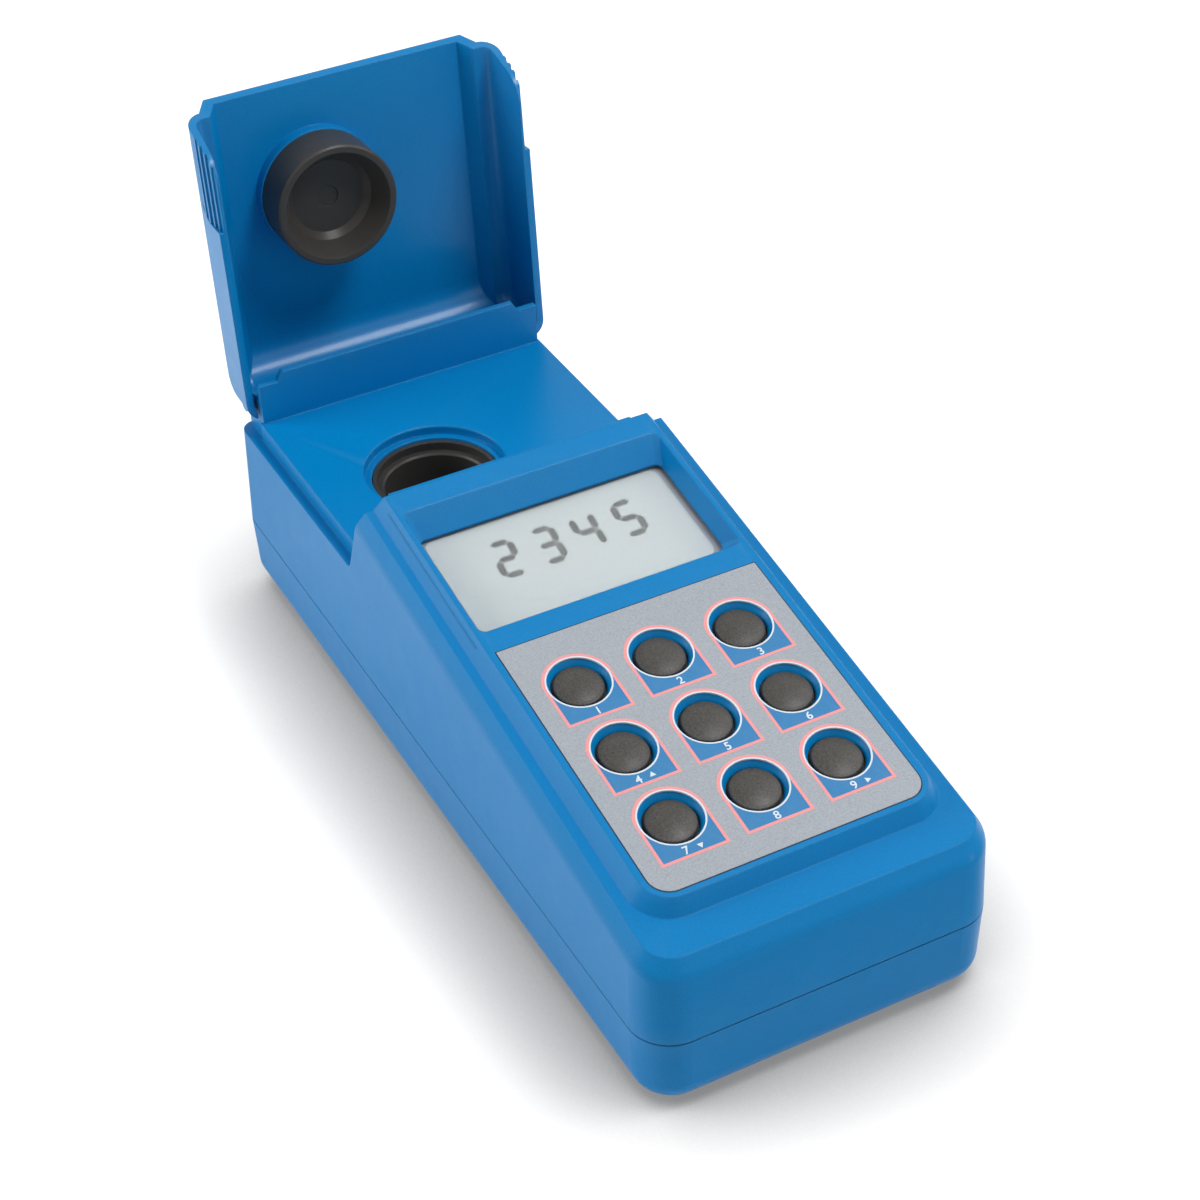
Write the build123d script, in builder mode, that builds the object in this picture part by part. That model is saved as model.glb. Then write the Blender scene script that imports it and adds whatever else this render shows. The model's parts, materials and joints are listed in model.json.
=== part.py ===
"""Portable turbidity meter, modelled as the separate pieces of the real product.

Frame: X across the width, Y along the length (keypad end at -Y, hinge end at +Y), Z up from the
table. The lid is drawn closed and then swung open about the hinge axis, as it stands in use.
Places are drawn from the middle of the body, and the finished pieces are moved so that the frame's
origin lies under the middle of the open meter. All sizes are millimetres and angles are degrees.
"""
import os
from math import atan2, cos, degrees, radians, sin, tan

from build123d import *

# Overall body
BODY_LENGTH = 224.0
BODY_WIDTH = 87.0
FRAME_Y = 8.0  # middle of the meter with its lid open, behind the middle of the body
FOOT_PROUD = 1.0  # how far the rubber feet stand out under the base
SPLIT_Z = 21.0  # joint between the two shells
SPLIT_GAP = 0.35  # shadow line between the shells
FRONT_CORNER = 10.0
REAR_CORNER = 5.0
UPPER_DRAFT = 2.0
LOWER_DRAFT = 2.5
BASE_ROUND = 6.5
WALL = 2.5

# Console with display and keypad
CONSOLE_ANGLE = 10.0
CONSOLE_Z = 66.5  # height of the console plane above the middle of the body
STEP = 3.9  # plateau above the shelf that runs round it
STEP_TAPER = 34.7
SHELF_MARGIN = 8.55  # from the side of the body to the plateau
PLATEAU_WIDTH = BODY_WIDTH - 2 * SHELF_MARGIN
PLATEAU_FRONT = -98.6
PLATEAU_CORNER = 7.0
SHOULDER_IN = 2.3  # width and drop of the slope round the shelf
SHOULDER_DROP = 3.9
SHOULDER_BLEND = 6.0  # rounding below that slope
SEAM_Y = 31.0  # rear edge of the plateau, where the lid meets it
SEAM_LEAN = 19.3
NOTCH_ROUND = 2.5  # foot of the joint, where it meets the rails
TONGUE_HALF = PLATEAU_WIDTH / 2 - 2.65  # upstand behind the joint that keeps light out of the lid
TONGUE_Z = 69.4
TONGUE_THICK = 3.0

# Display
DISPLAY_WIDTH = PLATEAU_WIDTH - 2.5
DISPLAY_FRONT = -17.0
DISPLAY_REAR = 24.3
DISPLAY_CORNER = 2.0
RECESS_DEPTH = 5.5
RECESS_SIDE = 1.5  # how far the walls of the recess lean in
RECESS_FRONT = 4.5
RECESS_REAR = 5.4
WINDOW_THICK = 1.0
WINDOW_MARGIN = 1.2
WINDOW_GAP = 0.1
PANEL_THICK = 3.6
DISPLAY_WALL = 2.3
DISPLAY_SCREW_INSET = 7.7
DISPLAY_SCREW_X = DISPLAY_WIDTH / 2 - DISPLAY_SCREW_INSET

# Keypad
KEY_COLUMNS = 3
KEY_ROWS = 3
KEY_PITCH_X = 20.5
KEY_PITCH_V = 21.0
KEY_FIRST_Y = -38.8
KEY_RADIUS = 6.0
KEY_CLEARANCE = 0.3
KEY_RECESS_RADIUS = 7.4
KEY_RECESS_DEPTH = 1.9
KEY_TRAVEL = 0.8
KEY_DOME = 0.6
KEY_SHOULDER = 0.8  # edge of the key top below the console
KEY_DOME_TAPER = 68.0
KEY_FLANGE = 1.0
KEY_FLANGE_THICK = 1.0
KEY_STEM_RADIUS = 1.8
KEY_STEM_LENGTH = 1.0
SWITCH_RADIUS = 3.5
SWITCH_HEIGHT = 1.2
MOVING_GAP = 0.3
OVERLAY_WIDTH = PLATEAU_WIDTH - 3.6
OVERLAY_FRONT = -97.2
OVERLAY_REAR = -23.5
OVERLAY_THICK = 0.4
OVERLAY_CORNER = 5.0
OVERLAY_POCKET = 0.3

# Sample deck, well and rear ridge
DECK_Z = 53.9
DECK_HALF = BODY_WIDTH / 2 - 3.6
RAIL_Z = 48.8
WELL_X = -9.2
WELL_Y = 61.0
WELL_RIM_RADIUS = 17.8
WELL_BORE_RADIUS = 16.1
WELL_STEP = 2.4  # depth of the ledge round the well
WELL_EDGE = 0.5
HOLDER_DROP = 3.0  # top of the holder below the deck
HOLDER_MOUTH = 14.8
HOLDER_CLEARANCE = 0.2
CELL_BORE_RADIUS = 13.1  # takes a 25 mm sample cuvette
CELL_FLOOR_Z = 9.0
CELL_LEDGE_DROP = 5.3  # ledge round the bore, below the deck
CELL_LEAD_IN = 0.5
RIDGE_SETBACK = 11.8  # front of the ridge, from the rear end of the body
HINGE_BLOCK_SETBACK = 4.4
RIDGE_FRONT = BODY_LENGTH / 2 - RIDGE_SETBACK
RIDGE_REAR = BODY_LENGTH / 2 - HINGE_BLOCK_SETBACK
RIDGE_THICK = 2.0
RIDGE_EDGE = 0.6
HINGE_BLOCK_Z = 60.5  # top of the low block behind the ridge
HINGE_BLOCK_ROUND = 3.6
RIDGE_WALL = 2.2
RIDGE_END = 9.0  # solid length at each end, which holds a hinge pin
RIDGE_HALF = DECK_HALF - 0.6
RIDGE_Z = 65.1
RIDGE_CROWN_HALF = RIDGE_HALF - 6.8
RIDGE_STEP_OUT = 1.5
RIDGE_CROWN_Z = 67.7

# Lid and hinge
LID_GAP = 0.8
LID_RIM_GAP = 2.2
LID_WALL = 2.0
LID_OPEN = 93.5
PIVOT_SETBACK = 3.9
PIVOT_Y = BODY_LENGTH / 2 - PIVOT_SETBACK
PIVOT_Z = 56.7
PIN_RADIUS = 1.0
PIN_CLEARANCE = 0.05
PIN_LENGTH = 7.4
PIN_IN_LID = 1.9  # how far each pin stands out of the ridge into the lid
PIN_BOSS_RADIUS = 2.3
LID_BOSS_RADIUS = 2.3
LID_BOSS_GAP = 0.4
LID_REAR_ROUND = 11.0
LID_SHELF_ROUND = 8.2
LID_CUTOUT_HALF = DECK_HALF
LID_CUTOUT_Z = 60.0
LID_ROUND = 4.6
LID_TOE_ROUND = 8.0
GRIP_REAR = 57.5
GRIP_HEIGHT = 12.0
GRIP_DEPTH = 1.4
GRIP_CORNER = 5.5
GRIP_RIBS = 4
GRIP_RIB_WIDTH = 0.9
GRIP_RIB_RISE = 0.5
CUP_BOSS_RADIUS = 16.4  # ring in the lid that the cup stands on
CUP_BOSS_HEIGHT = 3.0
CUP_RADIUS = 16.0
CUP_WALL = 1.9
CUP_EDGE = 0.5
CUP_DEPTH = 11.4
CUP_FLOOR = 4.3
CUP_FLOOR_RADIUS = 9.6
CUP_FLOOR_ROUND = 1.6
CUP_EYE_RADIUS = 2.8
CUP_EYE_DEPTH = 0.4
CUP_STUB_RADIUS = 3.0
CUP_STUB_HEIGHT = 2.0
CUP_POST_RADIUS = 5.0

# Optics around the well
BEAM_Z = 30.0
OPTIC_RADIUS = 2.5
OPTIC_LENGTH = 8.0
OPTIC_SEAT = 2.6  # how far each optic sits in the block
OPTIC_FLANGE = 3.4
APERTURE_RADIUS = 1.2
OPTICS_BLOCK = 40.0
OPTICS_BLOCK_HEIGHT = 14.0

# Battery bay
CELL_COUNT = 4
AA_RADIUS = 7.15
AA_LENGTH = 49.5
AA_NUB = 1.0
CELL_PITCH = 14.9
BAY_Y = -16.0
BAY_LENGTH = 55.0
BAY_WIDTH = 61.0
BAY_WALL = 1.6
DOOR_LEDGE = 2.0
DOOR_THICK = 1.6
DOOR_GAP = 0.3
NOTCH_RADIUS = 6.0
CONTACT_THICK = 0.4
CONTACT_HALF = 4.5

# Boards, screws and feet
MAIN_BOARD_Z = 24.0
BOARD_MARGIN = 17.5
MAIN_BOARD_WIDTH = BODY_WIDTH - 2 * BOARD_MARGIN
MAIN_BOARD_LENGTH = 116.0
MAIN_BOARD_Y = -36.0
BOARD_THICK = 1.6
BOARD_POST = 2.6
BOARD_SCREW_RADIUS = 1.1
BOARD_SCREW_LENGTH = 6.0
BOARD_SCREW_HOLE = 8.0  # depth of the holes in the posts
BOARD_SCREW_INSET = 4.0  # from the edge of the main board
BOARD_HEAD_RADIUS = 2.0
BOARD_HEAD_HEIGHT = 1.3
KEY_BOARD_INSET = 5.15
KEY_BOARD_WIDTH = OVERLAY_WIDTH - 2 * KEY_BOARD_INSET
RIBBON_WIDTH = 14.0
RIBBON_THICK = 0.4
RIBBON_SOCKET_Y = -24.0  # from the middle of the main board
RIBBON_SOCKET_HEIGHT = 5.0
RIBBON_RISE = 3.0  # straight length at each end before the bend
RIBBON_BOW = 7.0  # how far the cable bends out behind its socket
CASE_SCREW_RADIUS = 1.45
CASE_SCREW_LENGTH = 20.0
CASE_HEAD_RADIUS = 2.7
CASE_HEAD_HEIGHT = 2.0
CASE_BOSS_RADIUS = 3.6
CASE_SCREW_X = BODY_WIDTH / 2 - 11.0
CASE_SCREW_FRONT = -86.0
CASE_SCREW_REAR = 88.0
FOOT_RADIUS = 5.0
FOOT_POCKET = 1.2
FOOT_X = 25.0
FOOT_SETBACK = 15.0
FOOT_Y = BODY_LENGTH / 2 - FOOT_SETBACK

# Power socket in the rear wall
JACK_Z = 33.0
JACK_X = 20.0
JACK_RADIUS = 3.6
JACK_DEPTH = 11.0
PLUG_RADIUS = 2.75

# Main board components: x, y from the board's middle, width, length, height
COMPONENTS = [
    (0, 20, 14, 14, 2.0),
    (0, RIBBON_SOCKET_Y, 16, 6, RIBBON_SOCKET_HEIGHT),
    (-15, 8, 8, 8, 9.0),
    (15, 8, 8, 8, 9.0),
    (14, 34, 10, 6, 3.0),
    (-14, 34, 6, 10, 3.0),
    (-16, -24, 6, 9, 2.0),
    (16, -24, 6, 9, 2.0),
]
OPTIC_ANGLES = (180, 90, 0)  # lamp, detector across the beam, detector behind the sample

# Values worked out from the ones above
BASE_Z = FOOT_PROUD
FLOOR_Z = BASE_Z + WALL
SLOPE = tan(radians(CONSOLE_ANGLE))
COS_A = cos(radians(CONSOLE_ANGLE))
SIN_A = sin(radians(CONSOLE_ANGLE))
SEAM_Z = CONSOLE_Z + SLOPE * SEAM_Y
LID_TOP_Z = SEAM_Z
LID_SHELF_Z = LID_TOP_Z - STEP
LID_RIM_Z = RAIL_Z + LID_RIM_GAP
LID_CEILING_Z = LID_TOP_Z - LID_WALL
CUP_SEAT_Z = LID_CEILING_Z - CUP_BOSS_HEIGHT
KEY_FLANGE_TOP = WALL + MOVING_GAP  # depths below the console plane
KEY_STEM_END = KEY_FLANGE_TOP + KEY_FLANGE_THICK + KEY_STEM_LENGTH
KEY_BOARD_TOP = KEY_STEM_END + KEY_TRAVEL + MOVING_GAP + SWITCH_HEIGHT
KEY_BOARD_BACK = KEY_BOARD_TOP + BOARD_THICK
WINDOW_BACK = RECESS_DEPTH + WINDOW_THICK
DISPLAY_BACK = WINDOW_BACK + WINDOW_GAP + PANEL_THICK
KEY_RECESS_TAPER = degrees(
    atan2(KEY_RECESS_RADIUS - KEY_RADIUS - KEY_CLEARANCE - 0.05, KEY_RECESS_DEPTH - OVERLAY_POCKET)
)
STEP_SPREAD = STEP * tan(radians(STEP_TAPER))

CONSOLE = Plane(origin=(0, 0, CONSOLE_Z), x_dir=(1, 0, 0), z_dir=(0, -SIN_A, COS_A))
SHELF = CONSOLE.offset(-STEP)
HINGE = Axis((0, PIVOT_Y, PIVOT_Z), (1, 0, 0))


def along_console(y):
    """Distance along the sloping console for a place y on the body."""
    return y / COS_A


def console_height(y, drop=0.0):
    """Height of a plane that lies drop below the console plane, at y."""
    return CONSOLE_Z - drop / COS_A + SLOPE * y


def seam_y(z, gap=0.0):
    """Place of the leaning joint between console and lid at height z."""
    return SEAM_Y + gap / cos(radians(SEAM_LEAN)) + (SEAM_Z - z) * tan(radians(SEAM_LEAN))


def seam_on_console(drop):
    """Y and Z where the seam crosses the plane that lies drop below the console plane."""
    lean = tan(radians(SEAM_LEAN))
    base = console_height(0, drop)
    y = (SEAM_Y + lean * (SEAM_Z - base)) / (1 + lean * SLOPE)
    return y, console_height(y, drop)


def under_shoulder(edge):
    """True for an edge along the foot of the slope round the console shelf."""
    depths = [-SHELF.to_local_coords(edge @ t).Z for t in (0, 0.5, 1)]
    return min(depths) > SHOULDER_DROP / 2 and max(depths) < 1.5 * SHOULDER_DROP


def at_height(edge, z):
    """True for a level edge at height z."""
    box = edge.bounding_box()
    return abs(box.min.Z - z) < 0.01 and abs(box.max.Z - z) < 0.01


def body_outline(inset=0.0):
    """Plan outline of the body in the sketch that is open, drawn in by inset."""
    Rectangle(BODY_WIDTH - 2 * inset, BODY_LENGTH - 2 * inset)
    rows = vertices().group_by(Axis.Y)
    fillet(rows[0], FRONT_CORNER - inset)
    fillet(vertices().group_by(Axis.Y)[-1], REAR_CORNER - inset)


def console_rectangle(width, front, rear):
    """Rectangle on a console sketch between two places along the body."""
    v_front, v_rear = along_console(front), along_console(rear)
    with Locations((0, (v_front + v_rear) / 2)):
        Rectangle(width, v_rear - v_front)


def upper_profile(drop, inset=0.0):
    """Side outline of the upper shell: console slope, seam and rear rails."""
    end = BODY_LENGTH / 2 + 10
    rail = RAIL_Z - inset
    top = seam_on_console(drop)
    lean = inset / cos(radians(SEAM_LEAN))
    with BuildLine() as outline:
        Polyline(
            (-end, SPLIT_Z - WALL),
            (-end, console_height(-end, drop)),
            (top[0] - lean, top[1] - SLOPE * lean),
            (seam_y(rail) - lean, rail),
            (end, rail),
            (end, SPLIT_Z - WALL),
            close=True,
        )
    make_face(outline.edges())


def key_places():
    """Centres of the keys on the console sketch, from the rear row to the front row."""
    first = along_console(KEY_FIRST_Y)
    for row in range(KEY_ROWS):
        for column in range(KEY_COLUMNS):
            x = (column - (KEY_COLUMNS - 1) / 2) * KEY_PITCH_X
            yield x, first - row * KEY_PITCH_V


HOLDER_RADIUS = WELL_BORE_RADIUS - HOLDER_CLEARANCE
HOLDER_BOTTOM = CELL_FLOOR_Z - 2.0
BLOCK_BOTTOM = BEAM_Z - OPTICS_BLOCK_HEIGHT / 2
SCREW_SEAT_Z = BASE_Z + CASE_HEAD_HEIGHT + 0.4
CELLS_Z = BASE_Z + DOOR_THICK + DOOR_GAP + AA_RADIUS
BAY_TOP = CELLS_Z + AA_RADIUS + 0.5

CASE_SCREW_PLACES = [
    (side * CASE_SCREW_X, y) for side in (-1, 1) for y in (CASE_SCREW_FRONT, CASE_SCREW_REAR)
]
BLOCK_SCREW_PLACES = [
    (WELL_X + side * (OPTICS_BLOCK / 2 - 3.2), WELL_Y + end * (OPTICS_BLOCK / 2 - 3.2))
    for side in (-1, 1)
    for end in (-1, 1)
]
FOOT_PLACES = [(side * FOOT_X, end * FOOT_Y) for side in (-1, 1) for end in (-1, 1)]
BOARD_SCREW_PLACES = [
    (
        side * (MAIN_BOARD_WIDTH / 2 - BOARD_SCREW_INSET),
        MAIN_BOARD_Y + end * (MAIN_BOARD_LENGTH / 2 - BOARD_SCREW_INSET),
    )
    for side in (-1, 1)
    for end in (-1, 1)
]


def side_outline(front, rear, low, top, radius):
    """Side outline with a rounded rear top corner, in the sketch that is open."""
    with BuildLine() as outline:
        Line((front, low), (front, top))
        Line((front, top), (rear - radius, top))
        RadiusArc((rear - radius, top), (rear, top - radius), radius)
        Polyline((rear, top - radius), (rear, low), (front, low))
    make_face(outline.edges())


def seam_wedge(gap, low):
    """Side outline of everything behind the seam and above low, gap away from the seam."""
    high = BODY_WIDTH + 10
    with BuildLine() as outline:
        Polyline(
            (seam_y(low, gap), low),
            (seam_y(high, gap), high),
            (BODY_LENGTH, high),
            (BODY_LENGTH, low),
            close=True,
        )
    make_face(outline.edges())


def lid_block(inset):
    """Drafted block with the rounded rear end of the lid, drawn in by inset, from y = 0 back."""
    top = LID_SHELF_Z - inset
    with BuildPart() as block:
        with BuildSketch(Plane.XY.offset(SPLIT_Z)):
            with Locations((0, (BODY_LENGTH / 2 - inset) / 2)):
                Rectangle(BODY_WIDTH - 2 * inset, BODY_LENGTH / 2 - inset)
        extrude(amount=top - SPLIT_Z, taper=UPPER_DRAFT)
        rear_edge = edges().filter_by(Axis.X).group_by(Axis.Z)[-1].sort_by(Axis.Y)[-1]
        fillet(rear_edge, LID_SHELF_ROUND - inset)
        sides = edges().filter_by(lambda e: abs(e.center().X) > BODY_WIDTH / 4)
        sides = sides.filter_by(lambda e: e.center().Y > 10 and e.center().Z > SPLIT_Z + 1)
        fillet(sides, LID_ROUND - inset)
    return block.part


def lid_plateau(inset):
    """Raised middle of the lid, drawn in by inset, with its rounded rear end."""
    top = LID_TOP_Z - inset
    half = PLATEAU_WIDTH / 2 - inset
    foot = half + STEP_SPREAD
    low = LID_CUTOUT_Z
    rear = rear_wall(LID_TOP_Z - LID_REAR_ROUND) - inset
    with BuildPart() as plateau:
        with BuildSketch(Plane.YZ):
            side_outline(0, rear, low, top, LID_REAR_ROUND - inset)
        extrude(amount=foot, both=True)
        with BuildSketch(Plane.XZ):
            with BuildLine() as outline:
                Polyline(
                    (-foot, low),
                    (-foot, top - STEP),
                    (-half, top),
                    (half, top),
                    (foot, top - STEP),
                    (foot, low),
                    close=True,
                )
            make_face(outline.edges())
        extrude(amount=BODY_LENGTH, both=True, mode=Mode.INTERSECT)
    return plateau.part


def rear_wall(z):
    """Place of the drafted rear wall at height z."""
    return BODY_LENGTH / 2 - (z - SPLIT_Z) * tan(radians(UPPER_DRAFT))


def side_wall(z):
    """Half-width over the drafted side walls at height z."""
    return BODY_WIDTH / 2 - (z - SPLIT_Z) * tan(radians(UPPER_DRAFT))


def window_rectangle(margin):
    """Rectangle at the bottom of the display recess, grown by margin, in the open sketch."""
    console_rectangle(
        DISPLAY_WIDTH - 2 * RECESS_SIDE + 2 * margin,
        DISPLAY_FRONT + RECESS_FRONT - margin,
        DISPLAY_REAR - RECESS_REAR + margin,
    )


def under_console(depth):
    """Plane that lies depth below the console and faces down from it."""
    back = CONSOLE.offset(-depth)
    return Plane(origin=back.origin, x_dir=back.x_dir, z_dir=-back.z_dir)


def tongue_outline():
    """Side outline of the upstand that runs along the joint, down into the deck."""
    low = DECK_Z - WALL / 2
    with BuildLine() as outline:
        Polyline(
            (seam_y(low, -WALL / 2), low),
            (seam_y(low, TONGUE_THICK), low),
            (seam_y(TONGUE_Z, TONGUE_THICK), TONGUE_Z),
            (seam_y(TONGUE_Z, -WALL / 2), TONGUE_Z),
            close=True,
        )
    make_face(outline.edges())


def optic_plane(angle, reach, centred=False):
    """Plane across an optic's axis, facing out of the well, reach from the well's centre."""
    out = (cos(radians(angle)), sin(radians(angle)), 0)
    x, y = (0, 0) if centred else (WELL_X, WELL_Y)
    origin = (x + reach * out[0], y + reach * out[1], BEAM_Z)
    return Plane(origin=origin, x_dir=(-out[1], out[0], 0), z_dir=out)


KEY_POSTS = [
    (side * KEY_PITCH_X / 2, KEY_FIRST_Y / COS_A - KEY_PITCH_V * (row + 0.5))
    for side in (-1, 1)
    for row in (0, 1)
]
DISPLAY_SCREWS = [
    (side * DISPLAY_SCREW_X, y / COS_A)
    for side in (-1, 1)
    for y in (DISPLAY_FRONT + 0.4, DISPLAY_REAR - 0.8)
]
CELL_PLACES = [((i - (CELL_COUNT - 1) / 2) * CELL_PITCH, CELLS_Z) for i in range(CELL_COUNT)]
RIBBON_Y = MAIN_BOARD_Y + RIBBON_SOCKET_Y
RIBBON_PATH = [
    (RIBBON_Y, MAIN_BOARD_Z + BOARD_THICK + RIBBON_SOCKET_HEIGHT + RIBBON_THICK),
    (RIBBON_Y + RIBBON_BOW, MAIN_BOARD_Z + BOARD_THICK + RIBBON_SOCKET_HEIGHT + RIBBON_RISE),
    (RIBBON_Y + RIBBON_BOW, console_height(RIBBON_Y + RIBBON_BOW, KEY_BOARD_BACK) - RIBBON_RISE),
    (RIBBON_Y + 2, console_height(RIBBON_Y + 2, KEY_BOARD_BACK) - RIBBON_THICK),
]


# Lower shell
with BuildPart() as bottom_housing:
    with BuildSketch(Plane.XY.offset(SPLIT_Z - SPLIT_GAP)):
        body_outline()
    extrude(amount=BASE_Z + SPLIT_GAP - SPLIT_Z, taper=LOWER_DRAFT)
    fillet(faces().sort_by(Axis.Z)[0].edges(), BASE_ROUND)
    with BuildSketch(Plane.XY.offset(SPLIT_Z - SPLIT_GAP)):
        body_outline(WALL)
    extrude(amount=FLOOR_Z + SPLIT_GAP - SPLIT_Z, taper=LOWER_DRAFT, mode=Mode.SUBTRACT)
    # Battery bay, screw columns, posts and the seat of the sample well
    with BuildSketch(Plane.XY.offset(FLOOR_Z - 0.5)):
        with Locations((0, BAY_Y)):
            Rectangle(BAY_WIDTH + 2 * BAY_WALL, BAY_LENGTH + 2 * BAY_WALL)
    extrude(amount=BAY_TOP + BAY_WALL - FLOOR_Z + 0.5)
    for places, radius, top in (
        (CASE_SCREW_PLACES, CASE_BOSS_RADIUS, SPLIT_Z - SPLIT_GAP),
        (BOARD_SCREW_PLACES, BOARD_POST, MAIN_BOARD_Z),
        (BLOCK_SCREW_PLACES, BOARD_POST, BLOCK_BOTTOM),
    ):
        with BuildSketch(Plane.XY.offset(FLOOR_Z - 0.5)):
            with Locations(*places):
                Circle(radius)
        extrude(amount=top - FLOOR_Z + 0.5)
    with BuildSketch(Plane.XY.offset(FLOOR_Z - 0.5)):
        with Locations((WELL_X, WELL_Y)):
            Circle(HOLDER_RADIUS - 1)
            Circle(HOLDER_RADIUS - 4, mode=Mode.SUBTRACT)
    extrude(amount=HOLDER_BOTTOM - FLOOR_Z + 0.5)
    # Bay space, open downwards, with a ledge round it for the door
    with BuildSketch(Plane.XY):
        with Locations((0, BAY_Y)):
            Rectangle(BAY_WIDTH, BAY_LENGTH)
    extrude(amount=BAY_TOP, mode=Mode.SUBTRACT)
    with BuildSketch(Plane.XY):
        with Locations((0, BAY_Y)):
            RectangleRounded(BAY_WIDTH + 2 * DOOR_LEDGE, BAY_LENGTH + 2 * DOOR_LEDGE, 2)
    extrude(amount=BASE_Z + DOOR_THICK, mode=Mode.SUBTRACT)
    with BuildSketch(Plane.XY):
        with Locations((0, BAY_Y - BAY_LENGTH / 2 - DOOR_LEDGE)):
            Circle(NOTCH_RADIUS)
    extrude(amount=BASE_Z + DOOR_THICK - 0.4, mode=Mode.SUBTRACT)
    # Screw and foot holes
    for places, radius, low, high in (
        (CASE_SCREW_PLACES, CASE_SCREW_RADIUS + 0.25, 0, BODY_WIDTH),
        (CASE_SCREW_PLACES, CASE_HEAD_RADIUS + 0.3, 0, SCREW_SEAT_Z),
        (FOOT_PLACES, FOOT_RADIUS, 0, BASE_Z + FOOT_POCKET),
        (BOARD_SCREW_PLACES, BOARD_SCREW_RADIUS, MAIN_BOARD_Z - BOARD_SCREW_HOLE, MAIN_BOARD_Z),
        (BLOCK_SCREW_PLACES, BOARD_SCREW_RADIUS, BLOCK_BOTTOM - BOARD_SCREW_HOLE, BLOCK_BOTTOM),
    ):
        with BuildSketch(Plane.XY.offset(low)):
            with Locations(*places):
                Circle(radius)
        extrude(amount=high - low, mode=Mode.SUBTRACT)
bottom_housing.part.label = "bottom_housing"

# Ridge behind the sample deck, with the hinge barrel at its back
with BuildPart() as ridge:
    with BuildSketch(Plane.YZ):
        rear = RIDGE_FRONT + RIDGE_THICK
        side_outline(RIDGE_FRONT, rear, RAIL_Z - WALL, RIDGE_CROWN_Z, RIDGE_EDGE)
    extrude(amount=RIDGE_HALF, both=True)
    with BuildSketch(Plane.XZ):
        with BuildLine():
            Polyline(
                (-RIDGE_CROWN_HALF - RIDGE_STEP_OUT, 0),
                (-RIDGE_CROWN_HALF - RIDGE_STEP_OUT, RIDGE_Z),
                (-RIDGE_CROWN_HALF, RIDGE_CROWN_Z),
                (RIDGE_CROWN_HALF, RIDGE_CROWN_Z),
                (RIDGE_CROWN_HALF + RIDGE_STEP_OUT, RIDGE_Z),
                (RIDGE_CROWN_HALF + RIDGE_STEP_OUT, 0),
                close=True,
            )
        make_face()
    extrude(amount=BODY_LENGTH, both=True, mode=Mode.INTERSECT)
    with BuildSketch(Plane.YZ):
        side_outline(RIDGE_FRONT, rear, RAIL_Z - WALL, RIDGE_Z, RIDGE_EDGE)
        side_outline(RIDGE_FRONT, RIDGE_REAR, RAIL_Z - WALL, HINGE_BLOCK_Z, HINGE_BLOCK_ROUND)
        with Locations((PIVOT_Y, PIVOT_Z)):
            Circle(PIN_BOSS_RADIUS)
        with Locations((PIVOT_Y, (RAIL_Z - WALL + PIVOT_Z) / 2)):
            Rectangle(2 * PIN_BOSS_RADIUS, PIVOT_Z - RAIL_Z + WALL)
    extrude(amount=RIDGE_HALF, both=True)
ridge.part.label = "ridge"

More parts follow.
